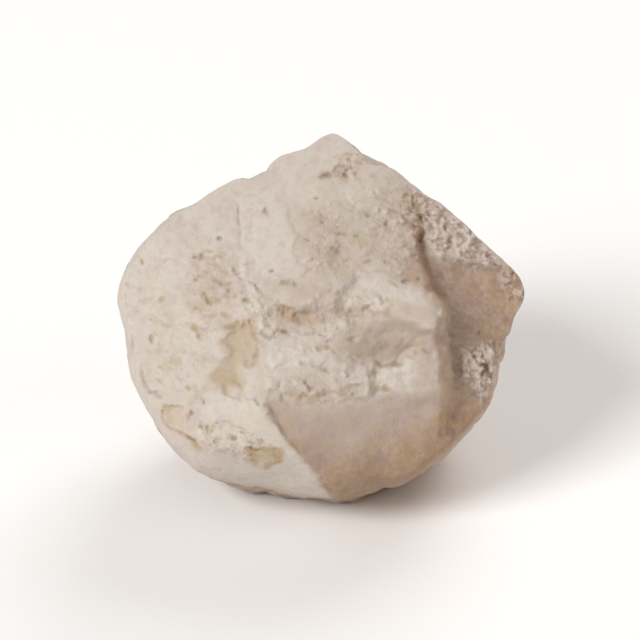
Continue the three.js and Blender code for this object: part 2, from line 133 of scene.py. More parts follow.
def scramble(i: Grid, j: Grid, k: Grid, seed: int) -> Grid:
    """Gives each lattice corner a repeatable number.

    Args:
        i, j, k: whole-number corner coordinates, as 32-bit unsigned numbers.
        seed: picks one pattern among many.

    Returns:
        Numbers from -1 to 1.
    """
    offset = np.uint32((seed * 974711) & 0xFFFFFFFF)
    h = i * np.uint32(374761393) + j * np.uint32(668265263) + k * np.uint32(1442695041) + offset
    h = (h ^ (h >> np.uint32(13))) * np.uint32(1274126177)
    h = h ^ (h >> np.uint32(16))
    return (h & np.uint32(0xFFFF)).astype(float) / 32767.5 - 1.0


def lumps(x: Grid, y: Grid, z: Grid, seed: int) -> Grid:
    """Makes smooth lumps about one unit across.

    Args:
        x, y, z: places, in units.
        seed: picks one pattern among many.

    Returns:
        Heights from -1 to 1.
    """
    floors = [np.floor(axis) for axis in (x, y, z)]
    cells = [floor.astype(np.int64).astype(np.uint32) for floor in floors]
    ease = [smooth_step(0, 1, axis - floor) for axis, floor in zip((x, y, z), floors)]
    total = np.zeros_like(ease[0])
    for corner in range(8):
        step = [corner & 1, (corner >> 1) & 1, corner >> 2]
        weight = 1.0
        for on, amount in zip(step, ease):
            weight = weight * (amount if on else 1 - amount)
        total += weight * scramble(*[cell + np.uint32(on) for cell, on in zip(cells, step)], seed)
    return total


def fractal(x: Grid, y: Grid, z: Grid, seed: int, octaves: int = 4, gain: float = 0.5) -> Grid:
    """Makes lumps on lumps, where each octave is half the size of the last.

    Args:
        x, y, z: places, in units of the largest lumps.
        seed: picks one pattern among many.
        octaves: how many sizes of lumps there are.
        gain: how strong each octave is against the last.

    Returns:
        Heights from -1 to 1.
    """
    total = np.zeros(np.shape(x))
    reach = 0.0
    strength = 1.0
    for octave in range(octaves):
        total += strength * lumps(x, y, z, seed + 17 * octave)
        reach += strength
        strength *= gain
        x, y, z = 2.03 * x + 13.7, 2.03 * y + 5.1, 2.03 * z + 9.2
    return total / reach


def flat_fractal(u: Grid, v: Grid, seed: int, octaves: int = 3) -> Grid:
    """Returns lumps on lumps over the face."""
    return fractal(u, v, np.full(np.shape(u), 0.37 * seed), seed, octaves)


def flaky(u: Grid, v: Grid, seed: int) -> Grid:
    """Makes low ragged steps that run mostly sideways.

    Args:
        u, v: places on the face.
        seed: picks one pattern among many.

    Returns:
        Heights from -1 to 1.
    """
    broad = flat_fractal(u / 3.4, v / 1.5, seed)
    fine = flat_fractal(u / 1.7, v / 0.9, seed + 5)
    return 1.3 * smooth_step(-0.09, 0.09, broad) + 0.7 * smooth_step(-0.12, 0.12, fine) - 1


def stray(u: Grid, v: Grid, size: float, seed: int) -> tuple[Grid, Grid]:
    """Returns the places moved a little, so that straight edges drawn there wander."""
    return (u + WANDER * flat_fractal(u / size, v / size, seed),
            v + WANDER * flat_fractal(u / size, v / size, seed + 2))


# ------------------------------------------------------------------ marks on a face


@dataclass(frozen=True)
class Facet:
    """A plane: a place on the face, its height there and how it climbs to the right and upward."""

    at: Point2
    height: float
    slope: Point2

    def over(self, u: Grid, v: Grid) -> Grid:
        """Returns the plane's height over places on the face."""
        return self.height + self.slope[0] * (u - self.at[0]) + self.slope[1] * (v - self.at[1])


@dataclass(frozen=True)
class Line:
    """A line of corners on the face."""

    points: tuple[Point2, ...]

    def side(self, u: Grid, v: Grid) -> Grid:
        """Measures from the line.

        Args:
            u, v: places on the face.

        Returns:
            The distance to the line, positive on its left side as it runs.
        """
        nearest = np.full(np.shape(u), np.inf)
        side = np.ones(np.shape(u))
        for (ax, ay), (bx, by) in zip(self.points, self.points[1:]):
            dx, dy = bx - ax, by - ay
            t = clamp(((u - ax) * dx + (v - ay) * dy) / (dx * dx + dy * dy))
            distance = np.hypot(u - ax - t * dx, v - ay - t * dy)
            closer = distance < nearest
            nearest = np.where(closer, distance, nearest)
            side = np.where(closer, np.where(dx * (v - ay) - dy * (u - ax) >= 0, 1.0, -1.0), side)
        return nearest * side


@dataclass(frozen=True)
class Patch:
    """A closed patch of the face."""

    points: tuple[Point2, ...]

    def inside(self, u: Grid, v: Grid) -> Grid:
        """Measures from the patch's edge.

        Args:
            u, v: places on the face.

        Returns:
            The distance to the edge, positive inside it.
        """
        within = np.zeros(np.shape(u), bool)
        for (ax, ay), (bx, by) in zip(self.points, self.points[-1:] + self.points[:-1]):
            if ay == by:
                continue
            crosses = ((ay > v) != (by > v)) & (u < (bx - ax) * (v - ay) / (by - ay) + ax)
            within ^= crosses
        distance = np.abs(Line(self.points + self.points[:1]).side(u, v))
        return np.where(within, distance, -distance)

    def cover(self, u: Grid, v: Grid, soft: Grid | float, outside: float = 0.0) -> Grid:
        """Returns 0 outside the patch, rising to 1 over a soft edge."""
        return smooth_step(-outside, soft, self.inside(u, v))

    def ragged(self, u: Grid, v: Grid, soft: float, outside: float = 0.0) -> Grid:
        """Returns the same cover with an edge that wanders by about a millimetre."""
        wander = 1.6 * flat_fractal(u / 1.7, v / 1.4, 91, 4)
        return smooth_step(-outside, soft, self.inside(u, v) + wander)

    def spots(self, count: int, seed: int) -> list[Point2]:
        """Picks seeded random places inside the patch.

        Args:
            count: how many places are wanted.
            seed: picks one set among many.

        Returns:
            The places, at most as many as were wanted.
        """
        rng = np.random.default_rng(seed)
        low, high = np.min(self.points, axis=0), np.max(self.points, axis=0)
        tries = rng.uniform(low, high, (count * 8, 2))
        kept = tries[self.inside(tries[:, 0], tries[:, 1]) > 0][:count]
        return [(float(u), float(v)) for u, v in kept]


def line(*points: Point2) -> Line:
    """Returns a line through the points."""
    return Line(tuple(points))


def patch(*points: Point2) -> Patch:
    """Returns a patch with these corners."""
    return Patch(tuple(points))


class Coat(Enum):
    """What lies on the stone: each is an attribute of the mesh that the finish reads. Tan, soil, earth and
    rust also carry painted shade where they are laid into shaded places.
    """

    CHALK = "chalk"
    TAN = "tan"
    SOIL = "soil"
    EARTH = "earth"
    OCHRE = "ochre"
    RUST = "rust"
    GRAIN = "grain"
    GRIT = "grit"
    FLECK = "fleck"
    HAZE = "haze"


class Surface:
    """Points of the show face, their height and what lies on them."""

    def __init__(self, u: Grid, v: Grid, height: Grid) -> None:
        """Starts with clean stone."""
        self.u, self.v, self.height = u, v, height
        self.coats = {coat: np.zeros(np.shape(u)) for coat in Coat}

    def near(self, at: Point2, reach: float) -> Grid:
        """Returns the indices of the points within a square around a place."""
        return np.nonzero((np.abs(self.u - at[0]) < reach) & (np.abs(self.v - at[1]) < reach))[0]

    def stain(self, coat: Coat, amount: Grid, where: Grid | slice = slice(None)) -> None:
        """Lays a coat on, where it is stronger than what is there."""
        self.coats[coat][where] = np.maximum(self.coats[coat][where], amount)


@dataclass(frozen=True)
class Pit:
    """A small hollow: middle, half-widths along u and v, depth, and what has settled in it."""

    at: Point2
    size: Point2
    depth: float
    coat: Coat = Coat.EARTH

    def press(self, face: Surface) -> None:
        """Sinks the hollow into the face.

        Args:
            face: the surface that the mark is made on.
        """
        near = face.near(self.at, 1.9 * max(self.size))
        u, v = face.u[near], face.v[near]
        r = np.hypot((u - self.at[0]) / self.size[0], (v - self.at[1]) / self.size[1])
        r = r * (1 + 0.5 * flat_fractal(u / 0.9, v / 0.9, 81, 2))
        face.height[near] -= self.depth * smooth_step(1.1, 0.2, r)
        face.stain(self.coat, 0.65 * smooth_step(1.4, 0.3, r), near)


@dataclass(frozen=True)
class Knob:
    """A small rounded grain that stands proud: middle, radius and rise."""

    at: Point2
    radius: float
    rise: float

    def press(self, face: Surface) -> None:
        """Raises the grain on the face.

        Args:
            face: the surface that the mark is made on.
        """
        near = face.near(self.at, 1.3 * self.radius)
        u, v = face.u[near], face.v[near]
        r = np.hypot(u - self.at[0], v - self.at[1]) / self.radius
        r = r * (1 + 0.4 * flat_fractal(u / 0.8, v / 0.8, 83, 2))
        face.height[near] += self.rise * smooth_step(1.0, 0.35, r)
        face.stain(Coat.CHALK, 0.8 * clamp(1.2 - r**2), near)


@dataclass(frozen=True)
class Seam:
    """A crack along a line, or a ridge where the depth is below nothing, and how strongly it is stained."""

    route: Line
    width: float
    depth: float
    coat: Coat | None = Coat.EARTH
    stain: float = 0.65

    def press(self, face: Surface) -> None:
        """Cuts the crack or raises the ridge, weaker towards its ends.

        Args:
            face: the surface that the mark is made on.
        """
        corners = np.array(self.route.points)
        middle, reach = corners.mean(0), np.ptp(corners, axis=0).max() + 3 * self.width
        near = face.near(tuple(middle), reach)
        u, v = face.u[near], face.v[near]
        ragged = flat_fractal(u / 1.2, v / 1.2, 85, 2)
        away = np.abs(self.route.side(u, v)) / (self.width * (1 + 0.9 * ragged))
        fade = 0.25 * np.hypot(*(corners[-1] - corners[0]))
        ends = [np.hypot(u - corner[0], v - corner[1]) for corner in (corners[0], corners[-1])]
        strength = smooth_step(-fade, fade, ends[0]) * smooth_step(-fade, fade, ends[1]) * clamp(0.8 + ragged)
        face.height[near] -= self.depth * clamp(1 - away) * strength
        if self.coat:
            face.stain(self.coat, self.stain * smooth_step(1.6, 0.2, away) * strength, near)


@dataclass(frozen=True)
class Layer:
    """A thin plate that stands proud of the face, or a recess where the rise is below nothing."""

    edge: Patch
    rise: float
    soft: float = 0.6

    def press(self, face: Surface) -> None:
        """Lifts or sinks the face inside the edge."""
        face.height += self.rise * self.edge.ragged(face.u, face.v, self.soft)


@dataclass(frozen=True)
class Tint:
    """A coat that covers a patch, thinning out over a soft edge."""

    edge: Patch
    coat: Coat
    amount: float
    soft: float = 2.0

    def press(self, face: Surface) -> None:
        """Lays the coat on the face."""
        face.stain(self.coat, self.amount * self.edge.ragged(face.u, face.v, self.soft, self.soft))


def tints(coat: Coat, *films: tuple[Patch, float, float]) -> tuple[Tint, ...]:
    """Returns films of one coat: each has its patch, its amount and its soft edge."""
    return tuple(Tint(edge, coat, amount, soft) for edge, amount, soft in films)


@dataclass(frozen=True)
class Crumble:
    """A patch of broken crust: flaky steps, grit and hollows, with grains, specks and strokes on it."""

    edge: Patch
    flakes: float
    grit: float
    hollows: float
    seed: int
    coat: Coat = Coat.EARTH
    soft: float = 2.0
    grains: int = 0
    specks: int = 0
    strokes: int = 0
    coarse: float = 1.0

    def press(self, face: Surface) -> None:
        """Breaks up the face inside the edge.

        Args:
            face: the surface that the mark is made on.
        """
        cover = self.edge.cover(face.u, face.v, self.soft, 0.8)
        near = np.nonzero(cover > 0)[0]
        u, v, cover = face.u[near], face.v[near], cover[near]
        rough = flat_fractal(u / 2.6, v / 1.7, self.seed + 31)
        # One pattern gives both: hollows where it is high and grain where it is low.
        holes = flat_fractal(u / 2.1, v / 1.4, self.seed + 53)
        hollow = smooth_step(0.16, 0.50, holes)
        grain = smooth_step(-0.14, -0.42, holes)
        push = self.flakes * flaky(u, v, self.seed) + self.grit * 2.4 * rough
        face.height[near] += cover * (push + self.hollows * (0.7 * grain - hollow))
        face.stain(self.coat, cover * hollow * 0.45, near)
        face.stain(Coat.CHALK, cover * grain * 0.6, near)
        face.stain(Coat.GRAIN, cover, near)
        rng = np.random.default_rng(self.seed)
        for at in self.edge.spots(self.grains, self.seed):
            radius = rng.uniform(0.35, 0.95) * self.coarse
            Knob(at, radius, radius * rng.uniform(0.5, 0.9)).press(face)
        for at in self.edge.spots(self.specks, self.seed + 100):
            size = rng.uniform(0.2, 0.38)
            coat = rng.choice([self.coat, Coat.TAN, Coat.EARTH])
            Pit(at, (size * rng.uniform(1, 2), size), size * 0.6, coat).press(face)
        for at in self.edge.spots(self.strokes, self.seed + 200):
            reach, rise = rng.uniform(0.4, 1.5), rng.uniform(-0.6, 0.3)
            route = line((at[0] - reach, at[1] - rise), (at[0], at[1] + rng.uniform(-0.3, 0.3)),
                         (at[0] + reach, at[1] + rise))
            coat = rng.choice([self.coat, Coat.TAN, None, None])
            Seam(route, rng.uniform(0.22, 0.36), rng.uniform(0.2, 0.4), coat).press(face)


# ------------------------------------------------------------------ the girdle

GIRDLE: tuple[Point2, ...] = (
    (3.3, 36.7), (0.9, 36.3), (-3.0, 34.0), (-6.7, 32.9), (-9.7, 31.1), (-12.0, 28.4), (-16.5, 28.0),
    (-20.0, 26.4), (-24.5, 23.4), (-28.5, 21.5), (-31.8, 18.9), (-35.2, 15.6), (-38.7, 10.6),
    (-40.1, 5.6), (-40.1, 2.6), (-38.6, -3.8), (-38.4, -7.5), (-37.7, -12.0), (-35.2, -17.0),
    (-33.2, -20.2), (-30.6, -24.6), (-26.8, -28.6), (-22.8, -31.3), (-16.0, -33.3), (-10.6, -34.2),
    (-3.7, -35.7), (1.9, -36.4), (4.6, -36.7), (10.1, -35.0), (12.7, -33.9), (15.0, -33.8),
    (18.0, -32.7), (21.5, -30.6), (25.5, -27.1), (30.0, -22.0), (33.5, -17.4), (34.6, -14.5),
    (35.8, -8.4), (36.5, -4.4), (37.9, -2.4), (38.8, 0.4), (40.2, 4.0), (40.1, 6.8), (38.6, 9.9),
    (35.5, 12.7), (26.9, 20.5), (24.0, 23.2), (20.3, 25.2), (17.0, 28.1), (14.6, 30.1), (12.6, 30.7),
    (10.1, 31.2), (7.5, 33.9),
)


@dataclass
class Girdle:
    """The outline of the show face, as a distance from the middle by angle."""

    corners: tuple[Point2, ...] = GIRDLE
    steps: int = 12
    angles: Grid = field(init=False)
    radii: Grid = field(init=False)

    def __post_init__(self) -> None:
        """Runs a smooth closed curve through the corners and reads it by angle."""
        p = np.array(self.corners)
        before, after, beyond = np.roll(p, 1, 0), np.roll(p, -1, 0), np.roll(p, -2, 0)
        turn, bend = after - before, 2 * before - 5 * p + 4 * after - beyond
        twist = 3 * p - before - 3 * after + beyond
        steps = np.arange(self.steps) / self.steps
        curve = [0.5 * (2 * p + turn * t + bend * t**2 + twist * t**3) for t in steps]
        x, y = np.concatenate(curve).T
        angles = np.arctan2(y, x)
        order = np.argsort(angles)
        self.angles = angles[order]
        self.radii = np.hypot(x, y)[order]

    def radius(self, angle: Grid) -> Grid:
        """Returns the girdle's distance from the middle."""
        return np.interp(angle, self.angles, self.radii, period=2 * math.pi)

    def rounded_radius(self, angle: Grid) -> Grid:
        """Returns the same distance with the small corners smoothed away."""
        turns = np.arange(-3, 4) * 0.12
        return sum(self.radius(angle + turn) for turn in turns) / len(turns)


# ------------------------------------------------------------------ the show face

CROWN_EDGE = patch((10.5, 29), (16, 28), (19.5, 24), (20, 16), (20, 9), (15, 9), (10.5, 11.5),
                   (8.5, 19))
CROWN_TAN = patch((-4.5, 21), (2, 23.5), (8, 20), (13, 23), (18, 21), (19.5, 9), (8, 9), (4, 7),
                  (-1, 8), (-4, 12.5))
LEFT_CRUST = patch((-26, 14), (-17.5, 13.5), (-14, 11.5), (-11.5, 4), (-11.5, -2), (-17, -3),
                   (-23, -3), (-26, 1))
LEFT_TAN = patch((-24.5, 11.5), (-17.5, 11.5), (-16, 7), (-16, 1), (-17.5, -2.5), (-23, -2), (-26, 2),
                 (-26.5, 7))
MIDDLE_CRUST = patch((-13.5, 7.5), (-9.5, 7), (-9, 0.5), (3, 0), (3, -4), (-11.5, -3.5), (-13.5, 2))
SHADED_POCKETS = patch((-9, 3.5), (-4, 4), (0, 3), (8.5, 3), (9, 1), (3, 0.5), (-2, 0), (-6, -0.5), (-9, 1))
SHADED_POCKET_FLOOR = patch((-5.5, 1.5), (-1, 2.5), (1, 0.5), (-2, -1), (-5.5, -0.5))
LEDGE_CRUST = patch((-7.5, -11.5), (2, -9.5), (10.5, -8.5), (10.5, -15), (2, -15.5), (-6, -16.5))
FLANK_CRUST = patch((-24, -19.5), (-14.5, -20), (-7, -25.5), (-8, -29.5), (-15, -28.5), (-19, -25.5),
                    (-25, -25))
WING_CRUST = patch((20, 24), (24, 23), (28.5, 20), (32.5, 16), (36.5, 12.5), (35, 9.5), (30, 10),
                   (24, 11), (20.5, 16))
WING = patch((21.5, 12), (30, 10.5), (42, 9), (42, -14), (34, -24), (26, -34), (25.5, -16), (26, -8),
             (24.5, -2), (22.5, 6))
RIM_CRUST = patch((35.5, 12.5), (40.5, 8), (40.5, 4), (37, 4), (35.5, 8))
NODULE_CRUST = patch((27.5, -5), (36, -4), (36, -8.5), (34, -16.5), (30.5, -16), (28.5, -12))
PEAK_CRUST = patch((-0.5, 27.5), (2, 30.5), (5, 35), (10.5, 31.5), (8, 28), (4, 26.5))
GAP_CRUST = patch((16.5, 25.5), (20.5, 25.5), (21, 19), (20.5, 11), (18.5, 11.5), (18, 17), (16, 19.5),
                  (16.5, 22))
WHITE_LEFT = patch((-34, 11.5), (-27, 11.5), (-27, -2), (-23, -5), (-23, -15), (-31, -15), (-35, -6),
                   (-36, 4))
LEFT_HOLLOW = patch((-17, -1), (-13.5, -0.5), (-12.5, -3), (-12, -6), (-13, -8.5), (-14.5, -8.5),
                    (-14.5, -11), (-15, -13), (-17.5, -13.5), (-21, -13.5), (-21.5, -11), (-20, -9.5),
                    (-18.5, -7), (-19.5, -4))
SCOOP = patch((-2, 3), (5, 5), (10, 4), (16, 3.5), (27, 1), (26, -6.2), (20, -6.2), (16.5, -7.1),
              (15.5, -8.8), (10, -8.5), (4.5, -8), (2, -6))
SCOOP_SHADE = patch((3, -5.5), (3.5, -2), (6, -0.5), (10, 0), (16, 0.3), (21, 0.2), (24, -1),
                    (24.5, -4.5), (20, -4.8), (16.3, -5.6), (15.2, -7.6), (10, -7), (5, -6.6))
LIP = patch((15.9, -8.3), (16.7, -7.5), (19.9, -6.7), (25.1, -6.5), (25.3, -12.1), (17.9, -12.9),
            (14.9, -13.5), (10.3, -13.1), (10.0, -10.1), (13.9, -9.3))
BAND = patch((-11.5, -6.5), (-9, -5), (-4, -4.5), (1.5, -5.5), (2, -7.5), (1, -10), (-4, -9.5),
             (-9, -9.5))
LOBE = patch((-24, -15.5), (-19, -14.5), (-11.5, -14.5), (-9.5, -17), (-7, -22), (-4.5, -26),
             (-8, -25.5), (-15, -24), (-16.5, -21), (-21, -19))
PLATE = patch((-13, 21), (-6, 22), (-4.5, 17), (-4.5, 12.5), (-0.5, 9), (-4, 7.5), (-12, 9),
              (-13.5, 14))
RECESS = patch((-30.3, -17.3), (-29, -16.6), (-27, -16.8), (-25.5, -18.5), (-26.5, -22),
               (-28.5, -21.8), (-30.8, -20))
SOCKET = patch((-13.7, -24.2), (-11.2, -23.4), (-8.7, -24.2), (-6.7, -25.7), (-7.7, -27.8),
               (-10.7, -29), (-12.9, -27))

LAYERS = (
    Layer(PLATE, 0.3, 0.7),
    Layer(BAND, 0.45, 1.6),
    Layer(LOBE, 0.8, 1.0),
    Layer(patch((3.5, 3.5), (5, 4), (8.5, 4.5), (12.5, 4), (11.5, 3), (6, 2.5)), 0.5),
    Layer(RECESS, -0.5),
    Layer(SOCKET, -1.4, 0.6),
)

TINTS = (
    *tints(
        Coat.CHALK,
        (patch((-13, 1.5), (-9.5, 2), (-7.5, -1.5), (-9, -3.5), (-13, -3)), 0.9, 1.0),
        (patch((6, 8), (13, 8.5), (19, 6.5), (22, 3.5), (22, 1), (13, 2.5), (6, 3)), 0.22, 1.5),
        (patch((12, -9), (15, -9), (16.5, -7.5), (19, -7), (18, -13.5), (11.5, -13)), 0.9, 1.5),
        (BAND, 1.0, 2.0),
        (LOBE, 0.25, 2.0),
        (PLATE, 0.25, 2.0),
        (WING_CRUST, 0.2, 2.0),
        (NODULE_CRUST, 0.2, 2.0),
    ),
    *tints(
        Coat.TAN,
        (CROWN_TAN, 0.55, 3.0),
        (CROWN_EDGE, 0.45, 3.0),
        (patch((-27.5, -20.5), (-24.5, -20), (-24.5, -24.5), (-27, -23)), 0.45, 1.5),
        (LEFT_TAN, 0.45, 2.0),
        # Painted shadow with a pinkish-brown cast: the next three darken the strip under the crown's overhang
        # and the shadow beneath the small wedge.
        (SHADED_POCKETS, 0.5, 1.5),
        (SHADED_POCKET_FLOOR, 1.0, 0.8),
        (patch((4, 2.2), (13, 2.2), (13, 0.6), (5, 0.3)), 1.0, 0.8),
        (patch((-11, 8), (-1, 8), (3, 5), (-3, 3), (-11, 3.5)), 0.45, 2.0),
        (patch((14.5, 11.5), (18.5, 13), (20, 8.5), (21, 6.4), (18.5, 6.6), (16.5, 8.2)), 1.0, 1.2),
        (patch((18.5, -6), (26, -6), (26, -13.5), (19, -13.5)), 0.6, 2.5),
        # Painted shadow with a tan cast: the next two darken the crown's foot and the strip under its
        # overhang.
        (patch((-4, 7), (2, 6), (3.5, 4), (0, 3.2), (-4, 4)), 0.75, 1.5),
        (patch((0, 2.2), (6.5, 2.2), (7, 0), (2, -0.8), (-0.5, 0.5)), 0.9, 0.8),
        # Painted shade: the scoop's top on the right.
        (patch((15, 3.5), (21.5, 3), (22.5, -0.5), (15, -0.5)), 0.55, 1.5),
        (patch((-9, 0.2), (-1, -0.2), (-1, -2.2), (-9, -2.2)), 0.6, 0.8),
        # Painted shade: the scoop darkest at its lower right.
        (patch((17.5, -3.5), (24, -3.5), (24, -7), (18.5, -6.5)), 0.8, 1.0),
        (LEFT_HOLLOW, 0.6, 2.4),
        # Painted shade with a tan cast over the scoop's hollow.
        (SCOOP_SHADE, 0.8, 1.6),
        (patch((-24.5, -7.2), (-18.5, -7), (-18.5, -8.4), (-24, -9.2)), 0.5, 0.8),
        (patch((-21.5, -10), (-19.8, -10), (-19.6, -13.4), (-21.5, -13.4)), 0.5, 0.8),
        (LEDGE_CRUST, 0.22, 1.0),
        (WHITE_LEFT, 0.12, 3.0),
    ),
    *tints(Coat.SOIL, (GAP_CRUST, 0.35, 1.0)),
    *tints(
        Coat.OCHRE,
        (GAP_CRUST, 0.2, 1.0),
        (patch((-8.5, 2.8), (-5, 2.6), (-5, 0.8), (-8.5, 0.8)), 0.5, 0.8),
        (LEFT_HOLLOW, 0.42, 1.5),
        (RECESS, 0.2, 0.6),
        (patch((-30.9, -21), (-30.3, -17.2), (-28.8, -17), (-28.9, -18.8), (-29.3, -20.8)), 0.62, 1.0),
        (patch((-26.6, -22.9), (-24.4, -22.9), (-23.6, -25.3), (-25.4, -25.4)), 0.85, 0.8),
        (patch((-20.5, -9.5), (-15.5, -9), (-15.3, -13), (-20.5, -13.2)), 0.56, 0.8),
        (patch((-4.8, -22.8), (-1.5, -22.6), (-1.2, -25.8), (-3, -26.4)), 0.4, 1.0),
        (SOCKET, 0.8, 0.4),
        (patch((-4, -15.2), (-1.2, -14.9), (-1.5, -16.2), (-3.8, -16.4)), 0.45, 0.5),
    ),
    *tints(
        Coat.RUST,
        (PEAK_CRUST, 0.22, 1.5),
        (patch((17, 13), (20.3, 13), (21, 8), (19, 7), (17, 8.5)), 0.4, 0.8),
        # Painted shadow with an orange cast, under the crown's overhang and beneath the wedge: the next two.
        (SHADED_POCKET_FLOOR, 0.2, 0.8),
        (patch((3.5, 1.6), (8, 1.6), (8, 0.8), (4, 0.8)), 0.3, 0.5),
        (patch((-4, -13.6), (1.5, -13.2), (2, -14.5), (-4, -15.2)), 0.22, 0.6),
        (WING_CRUST, 0.12, 2.0),
        (WING, 0.14, 1.0),
        (patch((24, -15), (36, -16), (31, -27), (22, -34), (17, -30), (23, -22)), 0.3, 2.0),
    ),
    *tints(
        Coat.EARTH,
        (patch((17.3, 24.5), (19.5, 24), (19.7, 19), (18.0, 19)), 0.2, 0.8),
        (patch((-12.9, -24.6), (-9.6, -24.1), (-8.6, -25.2), (-12.3, -25.6)), 0.3, 0.6),
    ),
    *tints(
        Coat.GRIT,
        (WING_CRUST, 1.0, 1.5),
        (NODULE_CRUST, 1.0, 1.0),
        (RIM_CRUST, 1.0, 1.0),
        (GAP_CRUST, 0.9, 1.0),
        (CROWN_EDGE, 0.2, 2.0),
        (PEAK_CRUST, 0.6, 1.5),
        (WING, 0.3, 1.0),
    ),
    *tints(
        Coat.FLECK,
        (FLANK_CRUST, 1.0, 1.5),
        (LEFT_CRUST, 0.45, 3.0),
        (CROWN_TAN, 0.3, 3.0),
        (WHITE_LEFT, 0.2, 3.0),
    ),
)

CRUMBLES = (
    Crumble(CROWN_EDGE, 0.08, 0.07, 0.10, 11, grains=12, specks=12, coarse=0.9),
    Crumble(CROWN_TAN, 0.08, 0.08, 0.09, 12, Coat.TAN, 3.0, grains=8, specks=12, strokes=24),
    Crumble(LEFT_CRUST, 0.10, 0.08, 0.07, 13, Coat.OCHRE, specks=10, strokes=14),
    Crumble(MIDDLE_CRUST, 0.09, 0.08, 0.06, 14, Coat.TAN, specks=8, strokes=14),
    Crumble(LEDGE_CRUST, 0.09, 0.08, 0.06, 15, Coat.TAN, grains=3, specks=6, strokes=8),
    Crumble(FLANK_CRUST, 0.08, 0.06, 0.05, 16, Coat.OCHRE, specks=50, strokes=8),
    Crumble(WING_CRUST, 0.12, 0.11, 0.13, 17, Coat.RUST, grains=60, specks=30, coarse=0.85),
    Crumble(RIM_CRUST, 0.12, 0.14, 0.18, 18, Coat.RUST, grains=16, specks=8, coarse=0.7),
    Crumble(NODULE_CRUST, 0.10, 0.11, 0.15, 19, Coat.RUST, 1.2, grains=44, specks=14, coarse=0.85),
    Crumble(PEAK_CRUST, 0.14, 0.14, 0.30, 20, specks=8),
    Crumble(GAP_CRUST, 0.12, 0.12, 0.12, 21, Coat.SOIL, 1.0, grains=22, specks=14, coarse=0.8),
    Crumble(WHITE_LEFT, 0.04, 0.03, 0.02, 22, Coat.OCHRE, 4.0, specks=6, strokes=6),
)

